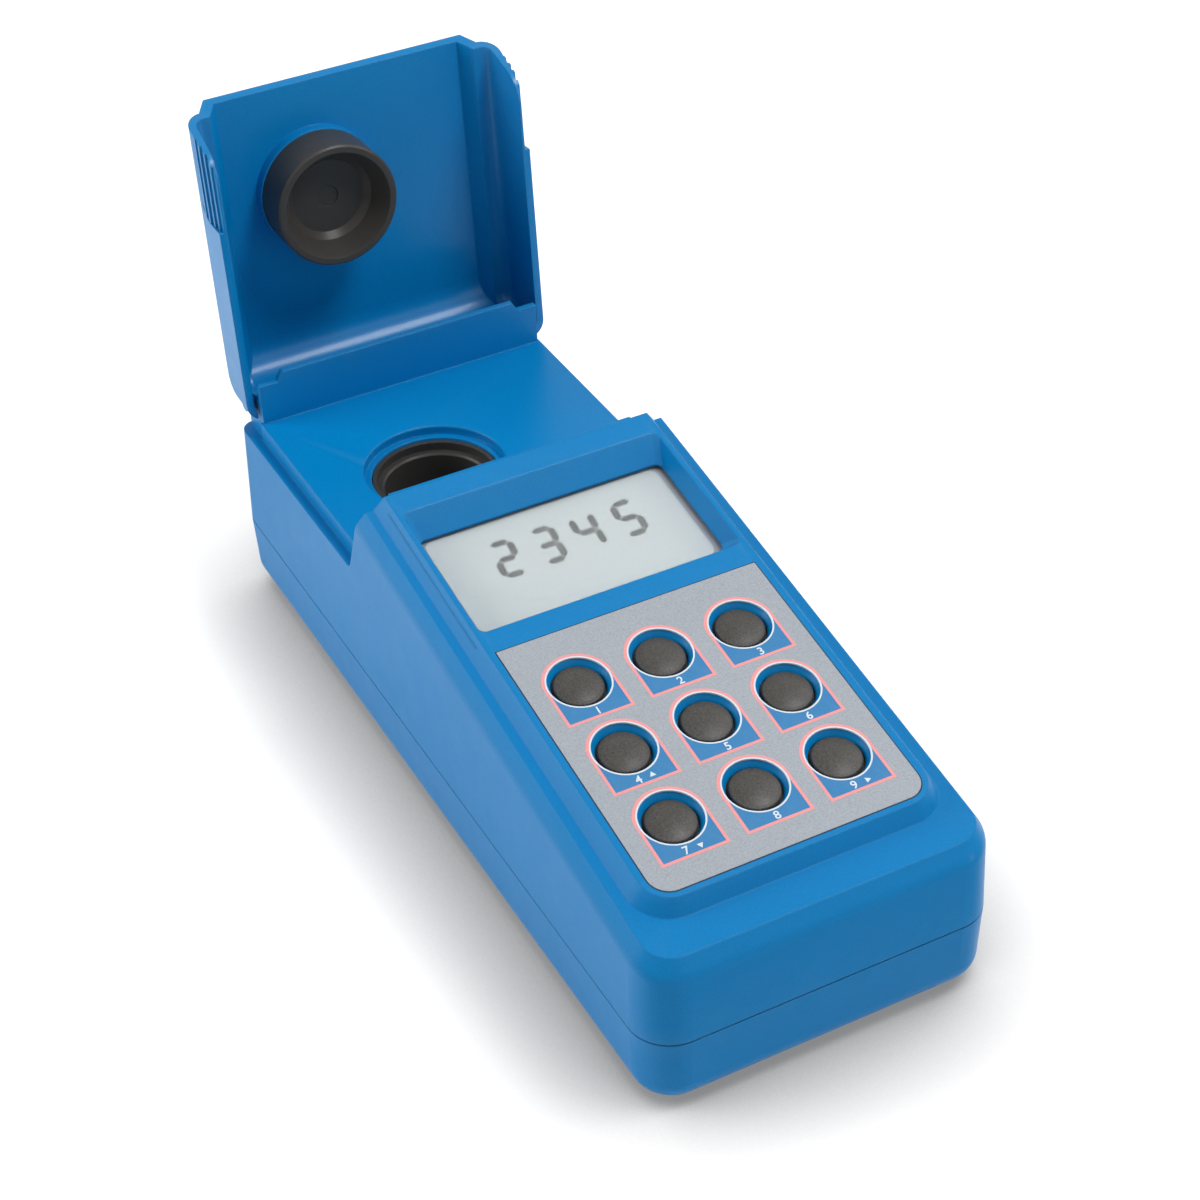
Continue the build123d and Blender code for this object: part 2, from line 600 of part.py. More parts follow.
# Upper shell with the console and the sample deck
with BuildPart() as top_housing:
    with BuildSketch(Plane.XY.offset(SPLIT_Z)):
        body_outline()
    extrude(amount=BODY_WIDTH, taper=UPPER_DRAFT)
    with BuildSketch(SHELF):
        Rectangle(4 * BODY_LENGTH, 4 * BODY_LENGTH)
    extrude(amount=2 * BODY_WIDTH, mode=Mode.SUBTRACT)
    shelf = faces().sort_by(lambda f: f.center().Z)[-1]
    chamfer(shelf.edges(), SHOULDER_IN, SHOULDER_DROP, reference=shelf)
    fillet(edges().filter_by(under_shoulder), SHOULDER_BLEND)
    with BuildSketch(SHELF):
        console_rectangle(PLATEAU_WIDTH + 2 * STEP_SPREAD, PLATEAU_FRONT - STEP_SPREAD, WELL_Y)
        fillet(vertices().group_by(Axis.Y)[0], PLATEAU_CORNER + STEP_SPREAD)
    extrude(amount=STEP, taper=STEP_TAPER)
    with BuildSketch(Plane.YZ):
        seam_wedge(0, RAIL_Z)
    extrude(amount=BODY_WIDTH, both=True, mode=Mode.SUBTRACT)
    rail_edges = edges().filter_by(Axis.X).filter_by(lambda e: at_height(e, RAIL_Z))
    fillet(rail_edges.sort_by(Axis.Y)[0], NOTCH_ROUND)
    with BuildSketch(Plane.XY.offset(RAIL_Z - WALL)):
        with Locations((0, (SEAM_Y + RIDGE_FRONT + 1) / 2)):
            Rectangle(2 * DECK_HALF, RIDGE_FRONT + 1 - SEAM_Y)
    extrude(amount=DECK_Z - RAIL_Z + WALL)
    add(ridge.part)
    with BuildSketch(Plane.YZ):
        tongue_outline()
    extrude(amount=TONGUE_HALF, both=True)
    # Hollow under the shell, the plateau, the deck and the ridge
    with BuildPart(mode=Mode.PRIVATE) as shell_space:
        with BuildSketch(Plane.XY.offset(SPLIT_Z)):
            body_outline(WALL)
        extrude(amount=BODY_WIDTH, taper=UPPER_DRAFT)
        with BuildSketch(Plane.YZ):
            upper_profile(STEP + WALL, WALL)
        extrude(amount=BODY_WIDTH, both=True, mode=Mode.INTERSECT)
    add(shell_space.part, mode=Mode.SUBTRACT)
    with BuildPart(mode=Mode.PRIVATE) as plateau_space:
        with BuildSketch(CONSOLE.offset(-STEP - WALL - 0.5)):
            foot = PLATEAU_WIDTH / 2 + STEP_SPREAD - WALL
            console_rectangle(2 * foot, PLATEAU_FRONT - STEP_SPREAD + WALL, WELL_Y)
        extrude(amount=STEP + 0.5, taper=STEP_TAPER)
        with BuildSketch(Plane.YZ):
            seam_wedge(-WALL, 0)
        extrude(amount=BODY_WIDTH, both=True, mode=Mode.SUBTRACT)
    add(plateau_space.part, mode=Mode.SUBTRACT)
    with BuildSketch(Plane.XY.offset(RAIL_Z - WALL - 1)):
        with Locations((0, (seam_y(RAIL_Z, WALL) + RIDGE_FRONT) / 2)):
            Rectangle(2 * (DECK_HALF - WALL), RIDGE_FRONT - seam_y(RAIL_Z, WALL))
    extrude(amount=DECK_Z - RAIL_Z + 1, mode=Mode.SUBTRACT)
    with BuildSketch(Plane.XY.offset(RAIL_Z - WALL - 1)):
        with Locations((0, (RIDGE_FRONT + RIDGE_REAR) / 2)):
            Rectangle(2 * (RIDGE_HALF - RIDGE_END), RIDGE_REAR - RIDGE_FRONT - 2 * RIDGE_WALL)
    extrude(amount=HINGE_BLOCK_Z - RAIL_Z + 1, mode=Mode.SUBTRACT)
    # Display frame and its recess
    with BuildSketch(CONSOLE.offset(-WALL / 2)):
        console_rectangle(
            DISPLAY_WIDTH + 2 * DISPLAY_WALL,
            DISPLAY_FRONT - DISPLAY_WALL,
            DISPLAY_REAR + DISPLAY_WALL,
        )
    extrude(amount=WALL / 2 - DISPLAY_BACK)
    with BuildSketch(CONSOLE):
        console_rectangle(DISPLAY_WIDTH, DISPLAY_FRONT, DISPLAY_REAR)
        fillet(vertices(), DISPLAY_CORNER)
    with BuildSketch(CONSOLE.offset(-RECESS_DEPTH)):
        window_rectangle(0)
        fillet(vertices(), DISPLAY_CORNER)
    loft(mode=Mode.SUBTRACT)
    with BuildSketch(CONSOLE.offset(-RECESS_DEPTH)):
        window_rectangle(WINDOW_MARGIN + WINDOW_GAP)
    extrude(amount=RECESS_DEPTH - DISPLAY_BACK, mode=Mode.SUBTRACT)
    # Keypad pocket, key recesses, key holes and posts for the key board
    with BuildSketch(CONSOLE):
        console_rectangle(OVERLAY_WIDTH, OVERLAY_FRONT, OVERLAY_REAR)
        fillet(vertices().group_by(Axis.Y)[0], OVERLAY_CORNER)
    extrude(amount=-OVERLAY_POCKET, mode=Mode.SUBTRACT)
    with BuildSketch(CONSOLE.offset(-OVERLAY_POCKET)):
        with Locations(*key_places()):
            Circle(KEY_RECESS_RADIUS)
    extrude(amount=OVERLAY_POCKET - KEY_RECESS_DEPTH, taper=KEY_RECESS_TAPER, mode=Mode.SUBTRACT)
    with BuildSketch(CONSOLE):
        with Locations(*key_places()):
            Circle(KEY_RADIUS + KEY_CLEARANCE)
    extrude(amount=-WALL - 1, mode=Mode.SUBTRACT)
    with BuildSketch(CONSOLE.offset(-WALL / 2)):
        with Locations(*KEY_POSTS):
            Circle(BOARD_POST)
    extrude(amount=WALL / 2 - KEY_BOARD_TOP)
    for places, back in ((KEY_POSTS, KEY_BOARD_TOP), (DISPLAY_SCREWS, DISPLAY_BACK)):
        with BuildSketch(CONSOLE.offset(-back)):
            with Locations(*places):
                Circle(BOARD_SCREW_RADIUS)
        extrude(amount=BOARD_SCREW_LENGTH - BOARD_THICK, mode=Mode.SUBTRACT)
    # Sample well in the deck, with a ledge round it
    for radius, low, high, mode in (
        (WELL_RIM_RADIUS + WALL, DECK_Z - WELL_STEP - WALL, DECK_Z - WALL / 2, Mode.ADD),
        (WELL_BORE_RADIUS, RAIL_Z - WALL, DECK_Z, Mode.SUBTRACT),
        (WELL_RIM_RADIUS, DECK_Z - WELL_STEP, DECK_Z, Mode.SUBTRACT),
    ):
        with BuildSketch(Plane.XY.offset(low)):
            with Locations((WELL_X, WELL_Y)):
                Circle(radius)
        extrude(amount=high - low, mode=mode)
    rims = edges().filter_by(GeomType.CIRCLE)
    fillet(rims.filter_by(lambda e: at_height(e, DECK_Z)), WELL_EDGE)
    # Screw columns
    with BuildSketch(Plane.XY.offset(SPLIT_Z)):
        with Locations(*CASE_SCREW_PLACES):
            Circle(CASE_BOSS_RADIUS)
    extrude(until=Until.NEXT)
    with BuildSketch(Plane.XY.offset(SPLIT_Z)):
        with Locations(*CASE_SCREW_PLACES):
            Circle(CASE_SCREW_RADIUS)
    extrude(amount=CASE_SCREW_LENGTH, mode=Mode.SUBTRACT)
    # Hinge pin holes and the hole for the power socket
    for side in (-1, 1):
        with BuildSketch(Plane.YZ.offset(side * (RIDGE_HALF + 1))):
            with Locations((PIVOT_Y, PIVOT_Z)):
                Circle(PIN_RADIUS)
        extrude(amount=-side * (PIN_LENGTH - PIN_IN_LID + 1), mode=Mode.SUBTRACT)
    with BuildSketch(Plane.XZ.offset(-BODY_LENGTH / 2)):
        with Locations((JACK_X, JACK_Z)):
            Circle(JACK_RADIUS)
    extrude(amount=3 * WALL, mode=Mode.SUBTRACT)
top_housing.part.label = "top_housing"

# Lid, drawn closed
with BuildPart() as grip_cut:
    with BuildSketch(Plane.XZ.offset(-GRIP_REAR)):
        with BuildLine():
            Polyline(
                (side_wall(LID_RIM_Z) - GRIP_DEPTH, LID_RIM_Z - 1),
                (side_wall(LID_RIM_Z) + 3, LID_RIM_Z - 1),
                (side_wall(LID_RIM_Z) + 3, LID_RIM_Z + GRIP_HEIGHT),
                (side_wall(LID_RIM_Z + GRIP_HEIGHT), LID_RIM_Z + GRIP_HEIGHT),
                close=True,
            )
        make_face()
        for i in range(GRIP_RIBS):
            rise = (i + 0.7) * GRIP_HEIGHT / (GRIP_RIBS + 0.6)
            depth = GRIP_DEPTH * (1 - rise / GRIP_HEIGHT)
            with Locations((side_wall(LID_RIM_Z + rise) - depth, LID_RIM_Z + rise)):
                Rectangle(2 * GRIP_RIB_RISE, GRIP_RIB_WIDTH, mode=Mode.SUBTRACT)
    extrude(amount=GRIP_REAR)
    with BuildSketch(Plane.YZ):
        side_outline(0, GRIP_REAR, LID_RIM_Z - 1, LID_RIM_Z + GRIP_HEIGHT, GRIP_CORNER)
    extrude(amount=BODY_WIDTH, both=True, mode=Mode.INTERSECT)
grip_cut.part.label = "grip_cut"

with BuildPart() as lid:
    add(lid_block(0))
    add(lid_plateau(0))
    add(lid_block(LID_WALL), mode=Mode.SUBTRACT)
    add(lid_plateau(LID_WALL), mode=Mode.SUBTRACT)
    with BuildSketch(Plane.YZ):
        seam_wedge(LID_GAP, LID_RIM_Z)
    extrude(amount=BODY_WIDTH, both=True, mode=Mode.INTERSECT)
    with BuildSketch(Plane.XZ.offset(-BODY_LENGTH / 2)):
        with Locations((0, (LID_RIM_Z + LID_CUTOUT_Z) / 2 - 1)):
            Rectangle(2 * LID_CUTOUT_HALF, LID_CUTOUT_Z - LID_RIM_Z + 2)
    extrude(amount=BODY_LENGTH / 4, mode=Mode.SUBTRACT)
    toes = edges().filter_by(Axis.X).filter_by(lambda e: at_height(e, LID_RIM_Z))
    fillet(toes.filter_by(lambda e: e.center().Y < WELL_Y), LID_TOE_ROUND)
    add(grip_cut.part, mode=Mode.SUBTRACT)
    add(mirror(grip_cut.part, Plane.YZ, mode=Mode.PRIVATE), mode=Mode.SUBTRACT)
    for side in (-1, 1):
        with BuildSketch(Plane.YZ.offset(side * (RIDGE_HALF + LID_BOSS_GAP))):
            with Locations((PIVOT_Y, PIVOT_Z)):
                Circle(LID_BOSS_RADIUS)
        extrude(amount=side * (side_wall(PIVOT_Z) - LID_WALL / 2 - RIDGE_HALF - LID_BOSS_GAP))
        with BuildSketch(Plane.YZ.offset(side * RIDGE_HALF)):
            with Locations((PIVOT_Y, PIVOT_Z)):
                Circle(PIN_RADIUS + PIN_CLEARANCE)
        extrude(amount=side * (PIN_IN_LID + 0.2), mode=Mode.SUBTRACT)
    with BuildSketch(Plane.XY.offset(CUP_SEAT_Z)):
        with Locations((WELL_X, WELL_Y)):
            Circle(CUP_BOSS_RADIUS)
            Circle(CUP_BOSS_RADIUS - LID_WALL, mode=Mode.SUBTRACT)
            Circle(CUP_POST_RADIUS)
    extrude(amount=CUP_BOSS_HEIGHT + LID_WALL / 2)
    with BuildSketch(Plane.XY.offset(CUP_SEAT_Z)):
        with Locations((WELL_X, WELL_Y)):
            Circle(CUP_STUB_RADIUS)
    extrude(amount=CUP_STUB_HEIGHT, mode=Mode.SUBTRACT)

# Light cup that closes over the well
with BuildPart() as light_cup:
    with BuildSketch(Plane.XZ):
        with BuildLine():
            Polyline(
                (0, CUP_STUB_HEIGHT),
                (CUP_STUB_RADIUS, CUP_STUB_HEIGHT),
                (CUP_STUB_RADIUS, 0),
                (CUP_RADIUS, 0),
                (CUP_RADIUS, CUP_EDGE - CUP_DEPTH),
                (CUP_RADIUS - CUP_EDGE, -CUP_DEPTH),
                (CUP_RADIUS - CUP_WALL, -CUP_DEPTH),
                (CUP_FLOOR_RADIUS + CUP_FLOOR_ROUND, -CUP_FLOOR - CUP_FLOOR_ROUND),
                (CUP_FLOOR_RADIUS, -CUP_FLOOR),
                (CUP_EYE_RADIUS, -CUP_FLOOR),
                (CUP_EYE_RADIUS, CUP_EYE_DEPTH - CUP_FLOOR),
                (0, CUP_EYE_DEPTH - CUP_FLOOR),
                close=True,
            )
        make_face()
    revolve(axis=Axis.Z)

# Swing the lid and the cup open, as they stand in use
lid_open = lid.part.rotate(HINGE, -LID_OPEN)
lid_open.label = "lid"
cup_open = light_cup.part.moved(Location((WELL_X, WELL_Y, CUP_SEAT_Z))).rotate(HINGE, -LID_OPEN)
cup_open.label = "light_cup"

with BuildPart() as hinge_pins:
    for side in (-1, 1):
        with BuildSketch(Plane.YZ.offset(side * (RIDGE_HALF + PIN_IN_LID))):
            with Locations((PIVOT_Y, PIVOT_Z)):
                Circle(PIN_RADIUS)
        extrude(amount=-side * PIN_LENGTH)
hinge_pins.part.label = "hinge_pins"

# Sample well and optics
with BuildPart() as cuvette_holder:
    with BuildSketch(Plane.XZ):
        with BuildLine():
            Polyline(
                (0, HOLDER_BOTTOM),
                (HOLDER_RADIUS, HOLDER_BOTTOM),
                (HOLDER_RADIUS, DECK_Z - HOLDER_DROP),
                (HOLDER_MOUTH, DECK_Z - HOLDER_DROP),
                (HOLDER_MOUTH, DECK_Z - CELL_LEDGE_DROP),
                (CELL_BORE_RADIUS + CELL_LEAD_IN, DECK_Z - CELL_LEDGE_DROP),
                (CELL_BORE_RADIUS, DECK_Z - CELL_LEDGE_DROP - CELL_LEAD_IN),
                (CELL_BORE_RADIUS, CELL_FLOOR_Z),
                (0, CELL_FLOOR_Z),
                close=True,
            )
        make_face()
    revolve(axis=Axis.Z)
    for angle in OPTIC_ANGLES:
        with BuildSketch(optic_plane(angle, 0, centred=True)):
            Circle(APERTURE_RADIUS)
        extrude(amount=-2 * HOLDER_RADIUS, mode=Mode.SUBTRACT)
holder_placed = cuvette_holder.part.moved(Location((WELL_X, WELL_Y, 0)))
holder_placed.label = "cuvette_holder"

with BuildPart() as optical_block:
    with BuildSketch(Plane.XY.offset(BLOCK_BOTTOM)):
        with Locations((WELL_X, WELL_Y)):
            RectangleRounded(OPTICS_BLOCK, OPTICS_BLOCK, 2)
            Circle(HOLDER_RADIUS + 0.1, mode=Mode.SUBTRACT)
    extrude(amount=OPTICS_BLOCK_HEIGHT)
    with BuildSketch(Plane.XY.offset(BLOCK_BOTTOM)):
        with Locations(*BLOCK_SCREW_PLACES):
            Circle(BOARD_SCREW_RADIUS + 0.1)
    extrude(amount=OPTICS_BLOCK_HEIGHT, mode=Mode.SUBTRACT)
    with BuildSketch(Plane.XY.offset(BLOCK_BOTTOM + BOARD_THICK)):
        with Locations(*BLOCK_SCREW_PLACES):
            Circle(BOARD_HEAD_RADIUS + 0.2)
    extrude(amount=OPTICS_BLOCK_HEIGHT, mode=Mode.SUBTRACT)
    for angle in OPTIC_ANGLES:
        with BuildSketch(optic_plane(angle, OPTICS_BLOCK / 2)):
            Circle(APERTURE_RADIUS)
        extrude(amount=-OPTICS_BLOCK / 2, mode=Mode.SUBTRACT)
        with BuildSketch(optic_plane(angle, OPTICS_BLOCK / 2)):
            Circle(OPTIC_RADIUS)
        extrude(amount=-OPTIC_SEAT, mode=Mode.SUBTRACT)
optical_block.part.label = "optical_block"

optics = []
for angle, name in zip(OPTIC_ANGLES, ("lamp", "scatter_detector", "transmitted_detector")):
    with BuildPart() as optic:
        with BuildSketch(optic_plane(angle, OPTICS_BLOCK / 2 - OPTIC_SEAT)):
            Circle(OPTIC_RADIUS)
        extrude(amount=OPTIC_LENGTH)
        with BuildSketch(optic_plane(angle, OPTICS_BLOCK / 2)):
            Circle(OPTIC_FLANGE)
        extrude(amount=1)
    optic.part.label = name
    optics.append(optic.part)

# Keypad
with BuildPart() as keypad_overlay:
    with BuildSketch(CONSOLE.offset(-OVERLAY_POCKET)):
        console_rectangle(OVERLAY_WIDTH - 0.1, OVERLAY_FRONT + 0.05, OVERLAY_REAR - 0.05)
        fillet(vertices().group_by(Axis.Y)[0], OVERLAY_CORNER)
        with Locations(*key_places()):
            Circle(KEY_RECESS_RADIUS, mode=Mode.SUBTRACT)
    extrude(amount=OVERLAY_THICK)
keypad_overlay.part.label = "keypad_overlay"

keys = []
for number, (x, v) in enumerate(key_places(), start=1):
    with BuildPart() as key:
        with BuildSketch(CONSOLE.offset(-KEY_FLANGE_TOP - KEY_FLANGE_THICK)):
            with Locations((x, v)):
                Circle(KEY_RADIUS + KEY_FLANGE)
        extrude(amount=KEY_FLANGE_THICK)
        with BuildSketch(CONSOLE.offset(-KEY_FLANGE_TOP)):
            with Locations((x, v)):
                Circle(KEY_RADIUS)
        extrude(amount=KEY_FLANGE_TOP - KEY_SHOULDER)
        with BuildSketch(CONSOLE.offset(-KEY_SHOULDER)):
            with Locations((x, v)):
                Circle(KEY_RADIUS)
        extrude(amount=KEY_DOME, taper=KEY_DOME_TAPER)
        with BuildSketch(CONSOLE.offset(-KEY_STEM_END)):
            with Locations((x, v)):
                Circle(KEY_STEM_RADIUS)
        extrude(amount=KEY_STEM_LENGTH)
    key.part.label = f"key_{number}"
    keys.append(key.part)

with BuildPart() as key_switches:
    with BuildSketch(CONSOLE.offset(-KEY_BOARD_TOP)):
        with Locations(*key_places()):
            Circle(SWITCH_RADIUS)
    extrude(amount=SWITCH_HEIGHT, taper=15)
key_switches.part.label = "key_switches"

with BuildPart() as key_board:
    with BuildSketch(CONSOLE.offset(-KEY_BOARD_BACK)):
        console_rectangle(KEY_BOARD_WIDTH, OVERLAY_FRONT + 3, OVERLAY_REAR - 3)
        with Locations(*KEY_POSTS):
            Circle(BOARD_SCREW_RADIUS + 0.1, mode=Mode.SUBTRACT)
    extrude(amount=BOARD_THICK)
key_board.part.label = "key_board"

# Display
with BuildPart() as lcd_window:
    with BuildSketch(CONSOLE.offset(-WINDOW_BACK)):
        window_rectangle(WINDOW_MARGIN)
    extrude(amount=WINDOW_THICK)
lcd_window.part.label = "lcd_window"

with BuildPart() as lcd_panel:
    with BuildSketch(CONSOLE.offset(-DISPLAY_BACK)):
        window_rectangle(WINDOW_MARGIN)
    extrude(amount=PANEL_THICK)
lcd_panel.part.label = "lcd_panel"

with BuildPart() as display_board:
    with BuildSketch(CONSOLE.offset(-DISPLAY_BACK - BOARD_THICK)):
        console_rectangle(
            DISPLAY_WIDTH + 2 * DISPLAY_WALL,
            DISPLAY_FRONT - DISPLAY_WALL,
            DISPLAY_REAR + DISPLAY_WALL,
        )
        with Locations(*DISPLAY_SCREWS):
            Circle(BOARD_SCREW_RADIUS + 0.1, mode=Mode.SUBTRACT)
    extrude(amount=BOARD_THICK)
display_board.part.label = "display_board"

# Main board with its components and the ribbon cable to the keypad
with BuildPart() as main_board:
    with BuildSketch(Plane.XY.offset(MAIN_BOARD_Z)):
        with Locations((0, MAIN_BOARD_Y)):
            RectangleRounded(MAIN_BOARD_WIDTH, MAIN_BOARD_LENGTH, 1.5)
        with Locations(*BOARD_SCREW_PLACES):
            Circle(BOARD_SCREW_RADIUS + 0.1, mode=Mode.SUBTRACT)
    extrude(amount=BOARD_THICK)
main_board.part.label = "main_board"

with BuildPart() as board_components:
    for x, y, width, length, height in COMPONENTS:
        with BuildSketch(Plane.XY.offset(MAIN_BOARD_Z + BOARD_THICK)):
            with Locations((x, MAIN_BOARD_Y + y)):
                Rectangle(width, length)
        extrude(amount=height)
board_components.part.label = "board_components"

with BuildPart() as ribbon_cable:
    with BuildSketch(Plane.YZ):
        with BuildLine():
            Polyline(*RIBBON_PATH)
            offset(amount=RIBBON_THICK / 2)
        make_face()
    extrude(amount=RIBBON_WIDTH / 2, both=True)
ribbon_cable.part.label = "ribbon_cable"

# Batteries, contacts and door
with BuildPart() as batteries:
    with BuildSketch(Plane.XZ.offset(-BAY_Y - AA_LENGTH / 2)):
        with Locations(*CELL_PLACES):
            Circle(AA_RADIUS)
    extrude(amount=AA_LENGTH)
    for i, (x, z) in enumerate(CELL_PLACES):
        end = 1 if i % 2 else -1
        with BuildSketch(Plane.XZ.offset(-BAY_Y - end * AA_LENGTH / 2)):
            with Locations((x, z)):
                Circle(2.75)
        extrude(amount=-end * AA_NUB)
batteries.part.label = "batteries"

with BuildPart() as battery_contacts:
    for end in (-1, 1):
        with BuildSketch(Plane.XZ.offset(-BAY_Y - end * (BAY_LENGTH / 2))):
            with Locations(*CELL_PLACES):
                Rectangle(2 * CONTACT_HALF, 2 * CONTACT_HALF)
        extrude(amount=end * CONTACT_THICK)
        springs = [p for i, p in enumerate(CELL_PLACES) if (1 if i % 2 else -1) != end]
        with BuildSketch(Plane.XZ.offset(-BAY_Y - end * (BAY_LENGTH / 2 - CONTACT_THICK))):
            with Locations(*springs):
                Circle(4)
        extrude(amount=end * (BAY_LENGTH / 2 - AA_LENGTH / 2 - CONTACT_THICK), taper=20)
battery_contacts.part.label = "battery_contacts"

with BuildPart() as battery_door:
    with BuildSketch(Plane.XY.offset(BASE_Z)):
        with Locations((0, BAY_Y)):
            RectangleRounded(
                BAY_WIDTH + 2 * DOOR_LEDGE - 2 * DOOR_GAP,
                BAY_LENGTH + 2 * DOOR_LEDGE - 2 * DOOR_GAP,
                2 - DOOR_GAP,
            )
    extrude(amount=DOOR_THICK - DOOR_GAP)
battery_door.part.label = "battery_door"

# Power socket
with BuildPart() as power_jack:
    with BuildSketch(Plane.XY):
        with BuildLine():
            Polyline(
                (PLUG_RADIUS, -JACK_DEPTH),
                (JACK_RADIUS, -JACK_DEPTH),
                (JACK_RADIUS, -WALL - 2.6),
                (JACK_RADIUS + 1.6, -WALL - 2.6),
                (JACK_RADIUS + 1.6, -WALL - 0.9),
                (JACK_RADIUS, -WALL - 0.9),
                (JACK_RADIUS, 0),
                (JACK_RADIUS + 1.2, 0),
                (JACK_RADIUS + 1.2, 0.8),
                (PLUG_RADIUS, 0.8),
                close=True,
            )
        make_face()
        with Locations((PLUG_RADIUS / 2, 0.5 - JACK_DEPTH)):
            Rectangle(PLUG_RADIUS, 1)
    revolve(axis=Axis.Y)
jack_placed = power_jack.part.moved(Location((JACK_X, rear_wall(JACK_Z) + 0.2, JACK_Z)))
jack_placed.label = "power_jack"

# Feet and screws
with BuildPart() as rubber_feet:
    with BuildSketch():
        with Locations(*FOOT_PLACES):
            Circle(FOOT_RADIUS - 0.05)
    extrude(amount=BASE_Z + FOOT_POCKET)
    fillet(edges().group_by(Axis.Z)[0], 0.6)
rubber_feet.part.label = "rubber_feet"

with BuildPart() as case_screws:
    with BuildSketch(Plane.XY.offset(SCREW_SEAT_Z)):
        with Locations(*CASE_SCREW_PLACES):
            Circle(CASE_HEAD_RADIUS)
    extrude(amount=-CASE_HEAD_HEIGHT)
    with BuildSketch(Plane.XY.offset(SCREW_SEAT_Z)):
        with Locations(*CASE_SCREW_PLACES):
            Circle(CASE_SCREW_RADIUS)
    extrude(amount=CASE_SCREW_LENGTH)
    with BuildSketch(Plane.XY.offset(SCREW_SEAT_Z - CASE_HEAD_HEIGHT)):
        with Locations(*CASE_SCREW_PLACES):
            Rectangle(3.2, 0.7)
            Rectangle(0.7, 3.2)
    extrude(amount=1, mode=Mode.SUBTRACT)
case_screws.part.label = "case_screws"

with BuildPart() as board_screws:
    for seat, places in (
        (Plane.XY.offset(MAIN_BOARD_Z + BOARD_THICK), BOARD_SCREW_PLACES),
        (Plane.XY.offset(BLOCK_BOTTOM + BOARD_THICK), BLOCK_SCREW_PLACES),
        (under_console(KEY_BOARD_BACK), [(x, -v) for x, v in KEY_POSTS]),
        (under_console(DISPLAY_BACK + BOARD_THICK), [(x, -v) for x, v in DISPLAY_SCREWS]),
    ):
        with BuildSketch(seat):
            with Locations(*places):
                Circle(BOARD_HEAD_RADIUS)
        extrude(amount=BOARD_HEAD_HEIGHT)
        with BuildSketch(seat):
            with Locations(*places):
                Circle(BOARD_SCREW_RADIUS)
        extrude(amount=-BOARD_SCREW_LENGTH)
board_screws.part.label = "board_screws"

PIECES = [
    bottom_housing.part,
    top_housing.part,
    lid_open,
    cup_open,
    hinge_pins.part,
    holder_placed,
    optical_block.part,
    *optics,
    keypad_overlay.part,
    *keys,
    key_switches.part,
    key_board.part,
    lcd_window.part,
    lcd_panel.part,
    display_board.part,
    main_board.part,
    board_components.part,
    ribbon_cable.part,
    batteries.part,
    battery_contacts.part,
    battery_door.part,
    jack_placed,
    rubber_feet.part,
    case_screws.part,
    board_screws.part,
]

os.makedirs("parts", exist_ok=True)
for piece in PIECES:
    placed = piece.moved(Location((0, -FRAME_Y, 0)))
    placed.label = piece.label
    export_step(placed, f"parts/{piece.label}.step")
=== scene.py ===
"""Looks of a portable turbidity meter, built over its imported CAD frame.

Every length is in metres in the CAD frame: X across the width, Y from the keypad end to the
hinge end, Z up. The console is a plane that climbs towards the lid, and its own coordinates
(x across, v up the slope, n out of the plane) are turned into the frame by Console.
"""

import json
import logging
import math
from dataclasses import dataclass, field
from enum import Enum
from typing import Callable, Sequence

import bmesh
import bpy
import numpy as np
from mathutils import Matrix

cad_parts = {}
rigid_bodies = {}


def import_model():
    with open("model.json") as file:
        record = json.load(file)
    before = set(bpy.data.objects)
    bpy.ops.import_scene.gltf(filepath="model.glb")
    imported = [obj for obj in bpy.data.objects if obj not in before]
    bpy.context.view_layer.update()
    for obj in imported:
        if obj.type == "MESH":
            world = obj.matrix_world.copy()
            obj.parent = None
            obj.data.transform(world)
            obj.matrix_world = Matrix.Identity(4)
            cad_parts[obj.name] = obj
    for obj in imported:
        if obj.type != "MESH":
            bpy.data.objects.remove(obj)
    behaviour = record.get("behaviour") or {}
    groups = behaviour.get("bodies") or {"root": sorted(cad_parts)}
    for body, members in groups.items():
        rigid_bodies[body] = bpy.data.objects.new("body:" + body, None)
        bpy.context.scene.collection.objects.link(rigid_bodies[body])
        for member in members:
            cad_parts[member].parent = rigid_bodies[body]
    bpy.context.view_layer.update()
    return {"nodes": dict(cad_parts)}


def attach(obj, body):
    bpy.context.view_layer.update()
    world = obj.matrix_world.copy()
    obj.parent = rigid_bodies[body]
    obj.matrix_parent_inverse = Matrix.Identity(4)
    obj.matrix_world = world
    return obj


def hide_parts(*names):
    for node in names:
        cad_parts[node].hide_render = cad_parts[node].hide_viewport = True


LOG = logging.getLogger("turbidity_meter")
MM = 0.001
TINY = 1e-9
MERGE_DISTANCE = 1e-7
SHARP_ANGLE = math.radians(32)
Outline = Callable[[np.ndarray], np.ndarray]


class Kind(Enum):
    """The families of surface that the meter shows."""

    MOULDED = "moulded"
    GLOSSY = "glossy"
    PRINT = "print"
    RUBBER = "rubber"
    METAL = "metal"
    GLASS = "glass"


@dataclass(frozen=True)
class Finish:
    """One finish of the meter.

    Args:
        name: Name of the material.
        slot: Material slot of the record that it stands for; not used.
        colour: Base colour, linear.
        kind: Family of surface.
        roughness: Middle value of the roughness.
        grain: Height of the moulded grain in millimetres.
        grain_size: Size of one grain in millimetres.
        mottle: How far the colour wanders.
        wear: How much the sharp edges are rubbed.
        coat: Weight of a clear gloss over it.
        speckle: How much fine pale and dark grains show.
        edge: Radius in millimetres to which sharp edges catch the light as if rounded.
    """

    name: str
    slot: str
    colour: tuple[float, float, float]
    kind: Kind = Kind.MOULDED
    roughness: float = 0.42
    grain: float = 0.02
    grain_size: float = 0.45
    mottle: float = 0.04
    wear: float = 0.25
    coat: float = 0.0
    speckle: float = 0.0
    edge: float = 0.0


# Middle of a noise that runs from 0 to 1
HALF_NOISE = 0.5
